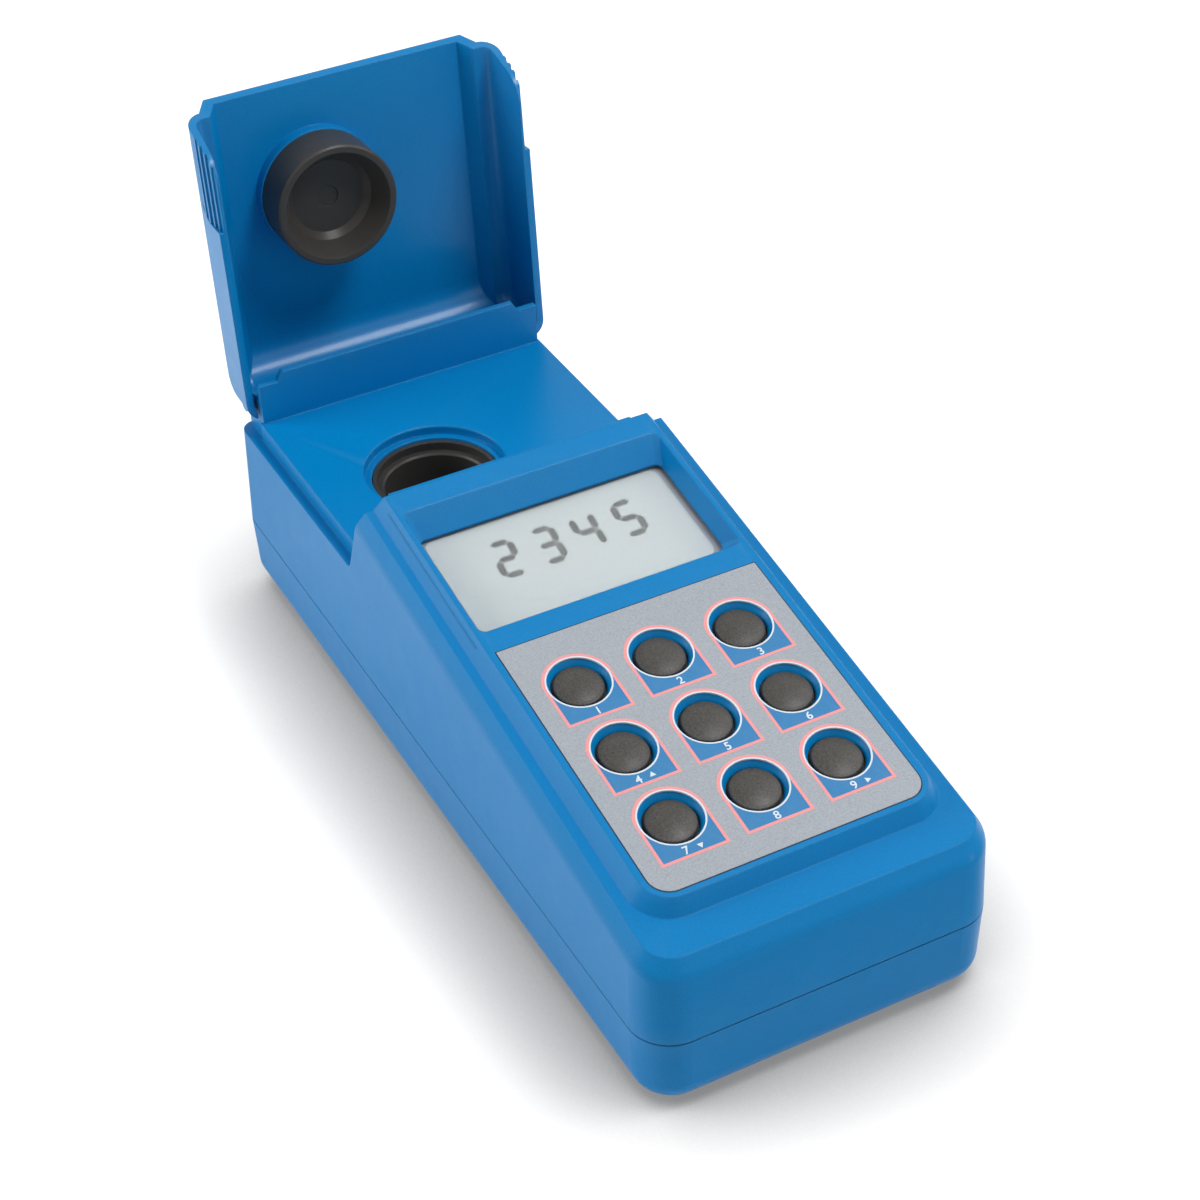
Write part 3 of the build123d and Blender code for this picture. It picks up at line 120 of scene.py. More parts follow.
# Specular level of each kind of surface
SHEEN = {
    Kind.MOULDED: 0.19,
    Kind.GLOSSY: 0.5,
    Kind.PRINT: 0.25,
    Kind.RUBBER: 0.3,
    Kind.METAL: 0.5,
    Kind.GLASS: 0.1,
}
# Moulded blue of the shells, the lid and the door
BLUE = (0.0, 0.185, 0.46)
FINISHES = {
    finish.name: finish
    for finish in (
        Finish("body_blue", "housing_blue", BLUE, roughness=0.34, speckle=0.14, edge=0.6),
        Finish("lid_blue", "housing_blue", BLUE, roughness=0.33, speckle=0.16, edge=0.5, coat=0.15),
        Finish("door_blue", "housing_blue", BLUE, roughness=0.44, wear=0.35, edge=0.3),
        # Dark blue sheet of painted shade for the gap round the membrane
        Finish("pocket_gap_painted_shade", "housing_blue", (0.0, 0.03, 0.08), roughness=0.6),
        Finish(
            "cup_black", "cup_black", (0.04, 0.038, 0.035),
            roughness=0.36, grain=0.006, wear=0.12, edge=0.25,
        ),
        Finish("block_black", "cup_black", (0.018, 0.018, 0.02), roughness=0.5),
        Finish(
            "membrane_grey", "membrane_grey", (0.33, 0.36, 0.4), Kind.PRINT,
            roughness=0.46, grain=0.006, grain_size=0.3, speckle=0.3,
        ),
        Finish(
            "tile_blue", "membrane_grey", (0.028, 0.19, 0.42), Kind.PRINT,
            roughness=0.46, grain=0.006, grain_size=0.3, speckle=0.12,
        ),
        Finish(
            "outline_pink", "membrane_grey", (0.78, 0.3, 0.3), Kind.PRINT,
            roughness=0.46, grain=0.004, grain_size=0.3, speckle=0.1,
        ),
        Finish(
            "ring_white", "membrane_grey", (0.66, 0.72, 0.78), Kind.PRINT,
            roughness=0.42, grain=0.004, grain_size=0.3,
        ),
        Finish(
            "key_dark", "key_dark", (0.054, 0.051, 0.046), Kind.RUBBER,
            roughness=0.44, grain=0.03, grain_size=0.5, mottle=0.12, speckle=0.9,
        ),
        Finish(
            "glass_face", "lcd_grey", (0.48, 0.53, 0.53), Kind.PRINT, roughness=0.5, grain=0.0, mottle=0.02
        ),
        Finish(
            "glass_rim", "lcd_grey", (0.3, 0.31, 0.33), Kind.GLOSSY, roughness=0.4, grain=0.0, mottle=0.03
        ),
        Finish(
            "segment_grey", "lcd_grey", (0.13, 0.14, 0.138), Kind.PRINT,
            roughness=0.5, grain=0.0, mottle=0.02,
        ),
        Finish("window_clear", "window_clear", (0.96, 0.98, 0.98), Kind.GLASS, roughness=0.08),
        Finish(
            "board_green", "board_green", (0.02, 0.16, 0.07), Kind.GLOSSY,
            roughness=0.35, grain=0.01, grain_size=0.6, mottle=0.1,
        ),
        Finish("component_black", "component_black", (0.03, 0.03, 0.032)),
        Finish(
            "steel", "steel", (0.55, 0.55, 0.56), Kind.METAL, roughness=0.3, grain=0.003, grain_size=0.2
        ),
        Finish(
            "nickel", "nickel", (0.62, 0.6, 0.55), Kind.METAL, roughness=0.26, grain=0.002, grain_size=0.2
        ),
        Finish("detector_can", "detector_can", (0.55, 0.55, 0.57), Kind.METAL, roughness=0.38),
        Finish(
            "battery_wrap", "battery_wrap", (0.06, 0.065, 0.075), Kind.GLOSSY,
            roughness=0.28, grain=0.002, grain_size=0.3,
        ),
        Finish(
            "foot_rubber", "foot_rubber", (0.028, 0.028, 0.03), Kind.RUBBER,
            roughness=0.75, grain=0.03, grain_size=0.35, mottle=0.2,
        ),
        Finish("cable_grey", "cable_grey", (0.45, 0.46, 0.48), Kind.GLOSSY, roughness=0.45),
    )
}


def new_group(name: str, inputs: dict[str, float], outputs: Sequence[str]) -> bpy.types.NodeTree:
    """Makes an empty shader node group with its group input and output nodes.

    Args:
        name: Name of the group.
        inputs: Name and default of each number that goes in.
        outputs: Name of each number that comes out.

    Returns:
        The node group.
    """
    group = bpy.data.node_groups.new(name, "ShaderNodeTree")
    for label, default in inputs.items():
        socket = group.interface.new_socket(name=label, in_out="INPUT", socket_type="NodeSocketFloat")
        socket.default_value = default
    for label in outputs:
        group.interface.new_socket(name=label, in_out="OUTPUT", socket_type="NodeSocketFloat")
    group.nodes.new("NodeGroupInput").name = "in"
    group.nodes.new("NodeGroupOutput").name = "out"
    return group


def add_node(
    nodes: bpy.types.Nodes,
    kind: str,
    constants: dict[str | int, float | tuple[float, ...]] | None = None,
    **settings: str | int | bool,
) -> bpy.types.ShaderNode:
    """Adds a shader node with its settings and its constant inputs.

    Args:
        nodes: Where it goes.
        kind: Type of the node, without the word ShaderNode.
        constants: Value of each input that nothing is linked to, by name or number.
        settings: Properties of the node, set before the inputs.

    Returns:
        The node.
    """
    made = nodes.new("ShaderNode" + kind)
    for label, value in settings.items():
        setattr(made, label, value)
    for socket, value in (constants or {}).items():
        made.inputs[socket].default_value = value
    return made


@dataclass
class Effects:
    """Shader node groups that several finishes share.

    Args:
        wave_weight: How much the wide waves add to the height of the fine grain.
        pointed: Pointiness at which rubbing starts, and at which it is full.
    """

    wave_weight: float = 1.6
    pointed: tuple[float, float] = (0.53, 0.66)
    grain: bpy.types.NodeTree = field(init=False)
    wear: bpy.types.NodeTree = field(init=False)
    mottle: bpy.types.NodeTree = field(init=False)

    def __post_init__(self) -> None:
        """Builds each group once."""
        self.grain = self._grain()
        self.wear = self._wear()
        self.mottle = self._mottle()

    def _grain(self) -> bpy.types.NodeTree:
        """Spark-eroded grain: fine noise with a few wider waves, as a height.

        Returns:
            Group with Scale in and Height out.
        """
        g = new_group("moulded_grain", {"Scale": 2000.0}, ["Height"])
        n, link = g.nodes, g.links.new
        coord = add_node(n, "TexCoord")
        fine = add_node(n, "TexNoise", {"Detail": 3.0})
        wide = add_node(n, "TexNoise", {"Scale": 35.0, "Detail": 2.0})
        mix = add_node(n, "Math", {1: self.wave_weight}, operation="MULTIPLY_ADD")
        link(coord.outputs["Object"], fine.inputs["Vector"])
        link(coord.outputs["Object"], wide.inputs["Vector"])
        link(n["in"].outputs["Scale"], fine.inputs["Scale"])
        link(wide.outputs["Fac"], mix.inputs[0])
        link(fine.outputs["Fac"], mix.inputs[2])
        link(mix.outputs[0], n["out"].inputs["Height"])
        return g

    def _wear(self) -> bpy.types.NodeTree:
        """Rubbed edges: the pointed parts of the surface, broken up by noise.

        Returns:
            Group with Amount in and Mask out.
        """
        g = new_group("rubbed_edges", {"Amount": 0.3}, ["Mask"])
        n, link = g.nodes, g.links.new
        geometry = add_node(n, "NewGeometry")
        start, full = self.pointed
        ramp = add_node(n, "MapRange", {"From Min": start, "From Max": full})
        coord = add_node(n, "TexCoord")
        noise = add_node(n, "TexNoise", {"Scale": 260.0, "Detail": 5.0})
        patch = add_node(n, "Math", operation="MULTIPLY")
        level = add_node(n, "Math", operation="MULTIPLY", use_clamp=True)
        link(geometry.outputs["Pointiness"], ramp.inputs["Value"])
        link(coord.outputs["Object"], noise.inputs["Vector"])
        link(ramp.outputs["Result"], patch.inputs[0])
        link(noise.outputs["Fac"], patch.inputs[1])
        link(patch.outputs[0], level.inputs[0])
        link(n["in"].outputs["Amount"], level.inputs[1])
        link(level.outputs[0], n["out"].inputs["Mask"])
        return g

    def _mottle(self) -> bpy.types.NodeTree:
        """Slow change of colour, fine speckle and faint handling marks in the polish.

        Returns:
            Group with Amount and Speckle in. Shade comes out about 1, and Polish about 0.
        """
        g = new_group("handling_marks", {"Amount": 0.05, "Speckle": 0.0}, ["Shade", "Polish"])
        n, link = g.nodes, g.links.new
        coord = add_node(n, "TexCoord")
        slow = add_node(n, "TexNoise", {"Scale": 28.0, "Detail": 4.0})
        smear = add_node(n, "TexNoise", {"Scale": 95.0, "Detail": 6.0, "Roughness": 0.65})
        fine = add_node(n, "TexNoise", {"Scale": 2400.0, "Detail": 2.0})
        about_zero = []
        for noise in (slow, smear, fine):
            centred = add_node(n, "Math", {1: HALF_NOISE}, operation="SUBTRACT")
            link(coord.outputs["Object"], noise.inputs["Vector"])
            link(noise.outputs["Fac"], centred.inputs[0])
            about_zero.append(centred.outputs[0])
        shade = add_node(n, "Math", {2: 1.0}, operation="MULTIPLY_ADD")
        both = add_node(n, "Math", operation="MULTIPLY_ADD")
        link(about_zero[0], shade.inputs[0])
        link(n["in"].outputs["Amount"], shade.inputs[1])
        link(about_zero[2], both.inputs[0])
        link(n["in"].outputs["Speckle"], both.inputs[1])
        link(shade.outputs[0], both.inputs[2])
        link(both.outputs[0], n["out"].inputs["Shade"])
        link(about_zero[1], n["out"].inputs["Polish"])
        return g


@dataclass
class Paintbox:
    """Makes and keeps the materials, one for each finish.

    Args:
        effects: The shared effects.
        made: Materials made so far.
        polish_depth: How far the handling marks change the roughness of a solid finish.
        rubbed_keep: Share of its own colour that a rubbed edge keeps.
        rubbed_white: How much white a rubbed edge gains.
        coat_roughness: Roughness of the clear gloss.
        bump_strength: Strength of the grain's bump.
        edge_samples: Rays that find each rounded edge.
        glass_index: Refractive index of the window.
        glass_cover: How much of the window is seen at all.
        glass_marks: Handling marks on the window.
        glass_polish: How far they change its roughness.
    """

    effects: Effects
    made: dict[str, bpy.types.Material] = field(default_factory=dict)
    polish_depth: float = 0.16
    rubbed_keep: float = 0.72
    rubbed_white: float = 0.2
    coat_roughness: float = 0.16
    bump_strength: float = 0.5
    edge_samples: int = 4
    glass_index: float = 1.45
    glass_cover: float = 0.06
    glass_marks: float = 0.05
    glass_polish: float = 0.06

    def material(self, name: str) -> bpy.types.Material:
        """The material of a finish, made on first use.

        Args:
            name: Name of the finish.

        Returns:
            The material.
        """
        if name not in self.made:
            finish = FINISHES[name]
            self.made[name] = self._glass(finish) if finish.kind is Kind.GLASS else self._solid(finish)
        return self.made[name]

    def dress(self, obj: bpy.types.Object, name: str) -> bpy.types.Object:
        """Gives an object one finish all over.

        Args:
            obj: The piece.
            name: Name of the finish.

        Returns:
            The same piece.
        """
        obj.data.materials.clear()
        obj.data.materials.append(self.material(name))
        return obj

    def _solid(self, finish: Finish) -> bpy.types.Material:
        """Opaque finish: mottled colour, uneven polish, rubbed edges and fine grain.

        Args:
            finish: The finish.

        Returns:
            The material.
        """
        material = bpy.data.materials.new(finish.name)
        material.use_nodes = True
        tree = material.node_tree
        n, link = tree.nodes, tree.links.new
        shader = n["Principled BSDF"]
        shader.inputs["Metallic"].default_value = 1.0 if finish.kind is Kind.METAL else 0.0
        shader.inputs["Specular IOR Level"].default_value = SHEEN[finish.kind]
        shader.inputs["Coat Weight"].default_value = finish.coat
        shader.inputs["Coat Roughness"].default_value = self.coat_roughness

        marks = self._group(
            n, self.effects.mottle, Amount=finish.mottle / HALF_NOISE, Speckle=finish.speckle / HALF_NOISE
        )
        own = {"Factor": 1.0, "A": (*finish.colour, 1.0)}
        tint = add_node(n, "Mix", own, data_type="RGBA", blend_type="MULTIPLY")
        link(marks.outputs["Shade"], tint.inputs["B"])

        rub = self._group(n, self.effects.wear, Amount=finish.wear)
        lighter = [self.rubbed_keep * c + self.rubbed_white for c in finish.colour]
        pale = add_node(n, "Mix", {"B": (*lighter, 1.0)}, data_type="RGBA")
        link(rub.outputs["Mask"], pale.inputs["Factor"])
        link(tint.outputs["Result"], pale.inputs["A"])
        link(pale.outputs["Result"], shader.inputs["Base Color"])
        self._polish(tree, marks, self.polish_depth, finish.roughness)
        if finish.grain > 0:
            self._relief(tree, finish)
        return material

    def _relief(self, tree: bpy.types.NodeTree, finish: Finish) -> None:
        """Fine grain, over edges that catch the light as if rounded.

        Args:
            tree: Nodes of the material.
            finish: The finish.
        """
        n, link = tree.nodes, tree.links.new
        grain = self._group(n, self.effects.grain, Scale=1.0 / (finish.grain_size * MM))
        depth = {"Strength": self.bump_strength, "Distance": finish.grain * MM}
        bump = add_node(n, "Bump", depth)
        link(grain.outputs["Height"], bump.inputs["Height"])
        link(bump.outputs["Normal"], n["Principled BSDF"].inputs["Normal"])
        if finish.edge > 0:
            radius = {"Radius": finish.edge * MM}
            rounding = add_node(n, "Bevel", radius, samples=self.edge_samples)
            link(rounding.outputs["Normal"], bump.inputs["Normal"])

    def _glass(self, finish: Finish) -> bpy.types.Material:
        """Clear window, which lets light and shadow rays through nearly undimmed.

        Args:
            finish: The finish.

        Returns:
            The material.
        """
        material = bpy.data.materials.new(finish.name)
        material.use_nodes = True
        tree = material.node_tree
        shader = tree.nodes["Principled BSDF"]
        shader.inputs["Base Color"].default_value = (*finish.colour, 1.0)
        shader.inputs["IOR"].default_value = self.glass_index
        shader.inputs["Specular IOR Level"].default_value = SHEEN[finish.kind]
        shader.inputs["Transmission Weight"].default_value = 1.0
        shader.inputs["Alpha"].default_value = self.glass_cover
        marks = self._group(tree.nodes, self.effects.mottle, Amount=self.glass_marks)
        self._polish(tree, marks, self.glass_polish, finish.roughness)
        return material

    @staticmethod
    def _polish(
        tree: bpy.types.NodeTree, marks: bpy.types.ShaderNodeGroup, depth: float, middle: float
    ) -> None:
        """Roughness that wanders about its middle value with the handling marks.

        Args:
            tree: Nodes of the material.
            marks: The handling marks.
            depth: How far they change it.
            middle: Middle value of the roughness.
        """
        rough = add_node(tree.nodes, "Math", {1: depth, 2: middle}, operation="MULTIPLY_ADD", use_clamp=True)
        tree.links.new(marks.outputs["Polish"], rough.inputs[0])
        tree.links.new(rough.outputs[0], tree.nodes["Principled BSDF"].inputs["Roughness"])

    @staticmethod
    def _group(
        nodes: bpy.types.Nodes, tree: bpy.types.NodeTree, **values: float
    ) -> bpy.types.ShaderNodeGroup:
        """Places an effect in a material with its own values.

        Args:
            nodes: Nodes of the material.
            tree: The effect.
            values: Value of each input.

        Returns:
            The group node.
        """
        node = nodes.new("ShaderNodeGroup")
        node.node_tree = tree
        for label, value in values.items():
            node.inputs[label].default_value = value
        return node


@dataclass(frozen=True)
class Console:
    """The sloping plane of the display and the keypad.

    Args:
        height: Height of the plane above the middle of the body, in millimetres.
        angle: Slope in degrees.
        middle: Distance from the middle of the body to the frame's origin, in millimetres.
    """

    height: float = 66.5
    angle: float = 10.0
    middle: float = 8.0

    def place(self, points: np.ndarray) -> np.ndarray:
        """Console coordinates to the frame: x stays, v goes up the slope, n out of the plane.

        Args:
            points: Array with x, v and n in millimetres in its last axis.

        Returns:
            The same points in the frame, in metres.
        """
        c, s = math.cos(math.radians(self.angle)), math.sin(math.radians(self.angle))
        x, v, n = np.moveaxis(np.asarray(points, float), -1, 0)
        along = c * v - s * n - self.middle
        return np.stack([x, along, self.height + s * v + c * n], axis=-1) * MM

    def slope(self, y: float) -> float:
        """Distance up the slope for a place y along the body."""
        return y / math.cos(math.radians(self.angle))


def mesh_piece(
    name: str, points: np.ndarray, faces: list[Sequence[int]], smooth: bool = True
) -> bpy.types.Object:
    """Turns points and faces into a linked object with its normals facing outwards.

    Args:
        name: Name of the piece.
        points: Vertices in metres, one per row.
        faces: Corner numbers of each face.
        smooth: Whether rounded faces are shaded smooth.

    Returns:
        The new object.
    """
    mesh = bpy.data.meshes.new(name)
    mesh.from_pydata(points.tolist(), [], faces)
    work = bmesh.new()
    work.from_mesh(mesh)
    bmesh.ops.remove_doubles(work, verts=work.verts, dist=MERGE_DISTANCE)
    bmesh.ops.recalc_face_normals(work, faces=work.faces)
    work.to_mesh(mesh)
    work.free()
    if smooth:
        mesh.shade_smooth()
        mesh.set_sharp_from_angle(angle=SHARP_ANGLE)
    piece = bpy.data.objects.new(name, mesh)
    bpy.context.scene.collection.objects.link(piece)
    return piece


def grid_faces(rows: int, columns: int, wrap_rows: bool, wrap_columns: bool) -> list[list[int]]:
    """Four-cornered faces of a grid of points, worked out as whole arrays.

    Args:
        rows: Number of rows.
        columns: Number of columns.
        wrap_rows: Whether the last row joins the first.
        wrap_columns: Whether the last column joins the first.

    Returns:
        The corner numbers of each face.
    """
    i = np.arange(rows if wrap_rows else rows - 1)
    j = np.arange(columns if wrap_columns else columns - 1)
    i, j = (a.ravel() for a in np.meshgrid(i, j, indexing="ij"))
    i2, j2 = (i + 1) % rows, (j + 1) % columns
    return np.stack([i * columns + j, i2 * columns + j, i2 * columns + j2, i * columns + j2], 1).tolist()


def band(
    name: str,
    inner: Outline,
    outer: Outline,
    low: float,
    high: float,
    console: Console,
    steps: int = 72,
) -> bpy.types.Object:
    """Closed flat band between two outlines, with a thickness.

    Formula: P(t, k) runs round both outlines with t, and round the band's square section
    (inner low, outer low, outer high, inner high) with k.

    Args:
        name: Name of the piece.
        inner: Inner outline, from angles to points in x and v.
        outer: Outer outline, the same way.
        low: Underside above the console plane, in millimetres.
        high: Top above the console plane, in millimetres.
        console: Plane that it lies on.
        steps: Points round each outline.

    Returns:
        The piece.
    """
    t = np.linspace(0.0, 2 * math.pi, steps, endpoint=False)
    a, b = inner(t), outer(t)
    rows = []
    for outline, level in ((a, low), (b, low), (b, high), (a, high)):
        rows.append(np.column_stack([outline, np.full(len(t), level)]))
    grid = np.stack(rows)
    points = console.place(grid).reshape(-1, 3)
    return mesh_piece(name, points, grid_faces(4, len(t), True, True))


def slab(
    name: str, outline: np.ndarray, low: float, high: float, console: Console
) -> bpy.types.Object:
    """Closed flat plate of any outline, with a thickness.

    Args:
        name: Name of the piece.
        outline: Corners in x and v, in order.
        low: Underside above the console plane, in millimetres.
        high: Top above the console plane, in millimetres.
        console: Plane that it lies on.

    Returns:
        The piece.
    """
    count = len(outline)
    grid = np.stack([np.column_stack([outline, np.full(count, h)]) for h in (low, high)])
    faces = grid_faces(2, count, False, True)
    faces += [list(range(count))[::-1], list(range(count, 2 * count))]
    return mesh_piece(name, console.place(grid).reshape(-1, 3), faces)


def turned(
    name: str, profile: np.ndarray, centre: tuple[float, float], console: Console, steps: int = 64
) -> bpy.types.Object:
    """Closed turned form on an axis square to the console.

    Formula: P(i, t) = centre + r_i (cos t, sin t) at height n_i, with a pole at each end.

    Args:
        name: Name of the piece.
        profile: Radius and height in millimetres, from the top pole down to the lower pole.
        centre: x and v of the axis.
        console: Plane that it stands on.
        steps: Points round the axis.

    Returns:
        The piece.
    """
    t = np.linspace(0.0, 2 * math.pi, steps, endpoint=False)
    radius, height = profile[:, :1], profile[:, 1:]
    x = centre[0] + radius * np.cos(t)
    v = centre[1] + radius * np.sin(t)
    grid = np.stack([x, v, np.broadcast_to(height, x.shape)], axis=-1)
    ends = np.array([[*centre, profile[0, 1]], [*centre, profile[-1, 1]]])
    points = console.place(np.concatenate([grid.reshape(-1, 3), ends]))
    faces = grid_faces(len(profile), steps, False, True)
    j = np.arange(steps)
    last = (len(profile) - 1) * steps
    pole = len(profile) * steps
    faces += np.stack([np.full(steps, pole), j, (j + 1) % steps], 1).tolist()
    faces += np.stack([np.full(steps, pole + 1), last + (j + 1) % steps, last + j], 1).tolist()
    return mesh_piece(name, points, faces)


def circle(radius: float, centre: tuple[float, float]) -> Outline:
    """Outline of a circle as a function of the angle round its centre."""
    return lambda t: np.column_stack([centre[0] + radius * np.cos(t), centre[1] + radius * np.sin(t)])


def arch(radius: float, half: float, foot: float, centre: tuple[float, float]) -> Outline:
    """Outline of a tile: a half circle above, straight sides and a square foot below.

    Formula: along each ray from the centre, the nearest of the side lines x = half and the
    foot line v = -foot below the centre, and the circle above it.

    Args:
        radius: Radius of the arch.
        half: Half-width between the straight sides.
        foot: Distance from the centre down to the foot.
        centre: Centre of the arch.

    Returns:
        The outline as a function of the angle.
    """

    def outline(t: np.ndarray) -> np.ndarray:
        """Points of the outline at the angles t."""
        corner = math.atan2(foot, half)
        marks = np.array([-corner, -math.pi + corner]) % (2 * math.pi)
        near = np.abs(t[:, None] - marks).argmin(axis=0)
        t = t.copy()
        t[near] = marks
        c, s = np.cos(t), np.sin(t)
        side = half / np.maximum(np.abs(c), TINY)
        low = np.where(s < 0, foot / np.maximum(-s, TINY), np.inf)
        reach = np.where(s >= 0, np.minimum(side, radius), np.minimum(side, low))
        return np.column_stack([centre[0] + reach * c, centre[1] + reach * s])

    return outline


def rounded_box(
    x0: float, x1: float, v0: float, v1: float, radius: float, each: int = 8
) -> np.ndarray:
    """Corners of a rectangle with rounded corners, anticlockwise.

    Args:
        x0: Left side.
        x1: Right side.
        v0: Lower side.
        v1: Upper side.
        radius: Corner radius.
        each: Points on each corner.

    Returns:
        Array of x and v.
    """
    turn = np.linspace(0, math.pi / 2, each)
    out = []
    left, right, low, high = x0 + radius, x1 - radius, v0 + radius, v1 - radius
    for k, (cx, cv) in enumerate(((right, high), (left, high), (left, low), (right, low))):
        a = turn + k * math.pi / 2
        out.append(np.column_stack([cx + radius * np.cos(a), cv + radius * np.sin(a)]))
    return np.concatenate(out)


# Direction in degrees of the arrow beside a figure
ARROWS = {4: 90.0, 7: -90.0, 9: 0.0}


@dataclass
class Keypad:
    """Printed membrane and push keys of the console, in millimetres.

    Levels are heights above the console plane.

    Args:
        paint: Where the finishes come from.
        console: Plane of the keypad.
        rows: Number of rows.
        columns: Number of keys in a row.
        pitch_x: Distance between the keys of a row.
        pitch_v: Distance between the rows, up the slope.
        first_y: Place of the rear row along the body.
        ring_inner: Inner radius of the white ring.
        ring_outer: Outer radius of the white ring.
        ring_depth: How far the ring reaches down into the key's recess.
        ring_rise: How far the ring stands above the tile.
        tile_half: Half-width of the blue tile.
        tile_foot: Distance from the key's centre to the foot of its tile.
        tile_lap: How far the tile reaches under the ring.
        tile_clear: How far the tile stays inside the ring's edge above the key.
        outline_width: Width of the pink outline.
        outline_lap: How far the outline reaches under the ring.
        outline_drop: How far the outline lies below the tile.
        print_low: Level of the prints' underside.
        print_top: Level of the prints' top.
        figure_size: Height of the letter body of a legend.
        figure_drop: Distance from the key's centre to its legend.
        figure_shift: How far a legend makes room for its arrow.
        arrow_radius: Radius of an arrow's triangle.
        arrow_gap: Distance from a legend to its arrow.
        line_half: Half-thickness of thin prints.
        gap_width: Width of the dark band of painted shade round the membrane.
        panel_half: Half-width of the membrane.
        panel_front: Front edge of the membrane along the body.
        panel_rear: Rear edge of the membrane along the body.
        panel_corner: Radius of its front corners.
        corner_steps: Points on each of these corners.
        ring_steps: Points round a ring.
        tile_steps: Points round a tile or its outline.
    """

    paint: Paintbox
    console: Console
    rows: int = 3
    columns: int = 3
    pitch_x: float = 20.5
    pitch_v: float = 21.0
    first_y: float = -38.8
    ring_inner: float = 7.22
    ring_outer: float = 7.6
    ring_depth: float = 0.3
    ring_rise: float = 0.05
    tile_half: float = 7.45
    tile_foot: float = 10.3
    tile_lap: float = 0.1
    tile_clear: float = 0.02
    outline_width: float = 0.75
    outline_lap: float = 0.05
    outline_drop: float = 0.01
    print_low: float = 0.08
    print_top: float = 0.13
    figure_size: float = 3.0
    figure_drop: float = 9.05
    figure_shift: float = 1.4
    arrow_radius: float = 0.85
    arrow_gap: float = 3.4
    line_half: float = 0.02
    gap_width: float = 0.26
    panel_half: float = 33.15
    panel_front: float = -97.2
    panel_rear: float = -23.5
    panel_corner: float = 5.0
    corner_steps: int = 9
    ring_steps: int = 96
    tile_steps: int = 144

    def centres(self) -> list[tuple[float, float]]:
        """Centre of each key on the console, from the rear row to the front row."""
        across = [(c - (self.columns - 1) / 2) * self.pitch_x for c in range(self.columns)]
        first = self.console.slope(self.first_y)
        return [(x, first - r * self.pitch_v) for r in range(self.rows) for x in across]

    def build(self) -> None:
        """Makes the prints, the key caps, their legends and the painted shade round the membrane."""
        cap = KeyCap(self.paint, self.console)
        for number, centre in enumerate(self.centres(), start=1):
            self._print(number, centre)
            cap.build(number, centre)
            self._legend(number, centre)
        self._edge_line()
        LOG.info("keypad: nine keys with their prints")

    def _edge_line(self) -> None:
        """Dark band of painted shade in the gap between the membrane and the edge of its pocket."""
        edge = band(
            "membrane_gap_painted_shade",
            lambda t: self._panel(-self.line_half),
            lambda t: self._panel(self.gap_width),
            -self.line_half,
            self.line_half,
            self.console,
            len(self._panel(0.0)),
        )
        self.paint.dress(edge, "pocket_gap_painted_shade")
        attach(edge, "body")

    def _panel(self, out: float) -> np.ndarray:
        """Outline of the membrane, grown outwards, with rounded corners at the front only.

        Args:
            out: How far the outline is grown.

        Returns:
            Array of x and v.
        """
        half, corner = self.panel_half + out, self.panel_corner + out
        front = self.console.slope(self.panel_front) - out
        rear = self.console.slope(self.panel_rear) + out
        turn = np.linspace(0, math.pi / 2, self.corner_steps)
        x = -half + corner - corner * np.cos(turn)
        left = np.column_stack([x, front + corner - corner * np.sin(turn)])
        right = np.column_stack([-left[::-1, 0], left[::-1, 1]])
        return np.concatenate([left, right, [[half, rear], [-half, rear]]])

    def _print(self, number: int, centre: tuple[float, float]) -> None:
        """White ring, blue tile and pink outline of one key.

        Args:
            number: Number of the key.
            centre: x and v of the key.
        """
        ring = band(
            f"key_ring_{number}",
            circle(self.ring_inner, centre),
            circle(self.ring_outer, centre),
            self.print_low - self.ring_depth,
            self.print_top + self.ring_rise,
            self.console,
            self.ring_steps,
        )
        radius = self.ring_outer - self.tile_clear
        tile = band(
            f"key_tile_{number}",
            circle(self.ring_outer - self.tile_lap, centre),
            past_ring(arch(radius, self.tile_half, self.tile_foot, centre), radius, centre),
            self.print_low,
            self.print_top,
            self.console,
            self.tile_steps,
        )
        wide = self.outline_width
        inner = arch(self.tile_half, self.tile_half, self.tile_foot, centre)
        outline = band(
            f"key_outline_{number}",
            past_ring(inner, self.ring_outer - self.outline_lap, centre),
            arch(self.ring_outer + wide, self.tile_half + wide, self.tile_foot + wide, centre),
            self.print_low,
            self.print_top - self.outline_drop,
            self.console,
            self.tile_steps,
        )
        for piece, finish in ((ring, "ring_white"), (tile, "tile_blue"), (outline, "outline_pink")):
            self.paint.dress(piece, finish)
            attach(piece, "body")

    def _legend(self, number: int, centre: tuple[float, float]) -> None:
        """Plain white figure at the foot of the tile, with an arrow on three of the keys.

        Args:
            number: Number of the key, which is also its figure.
            centre: x and v of the key.
        """
        shift = self.figure_shift if number in ARROWS else 0.0
        place = np.array([centre[0] - shift, centre[1] - self.figure_drop])
        level = self.print_top + self.line_half / 2
        figure = printed_figure(f"legend_{number}", str(number), self.figure_size, place, level, self.console)
        self.paint.dress(figure, "ring_white")
        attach(figure, "body")
        if number in ARROWS:
            a = np.radians(ARROWS[number] + np.array([0.0, 120.0, 240.0]))
            corners = np.column_stack([np.cos(a), np.sin(a)]) * self.arrow_radius
            corners = corners + place + np.array([self.arrow_gap, 0.0])
            low, high = self.print_top - self.line_half, self.print_top + self.line_half
            arrow = slab(f"arrow_{number}", corners, low, high, self.console)
            self.paint.dress(arrow, "ring_white")
            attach(arrow, "body")


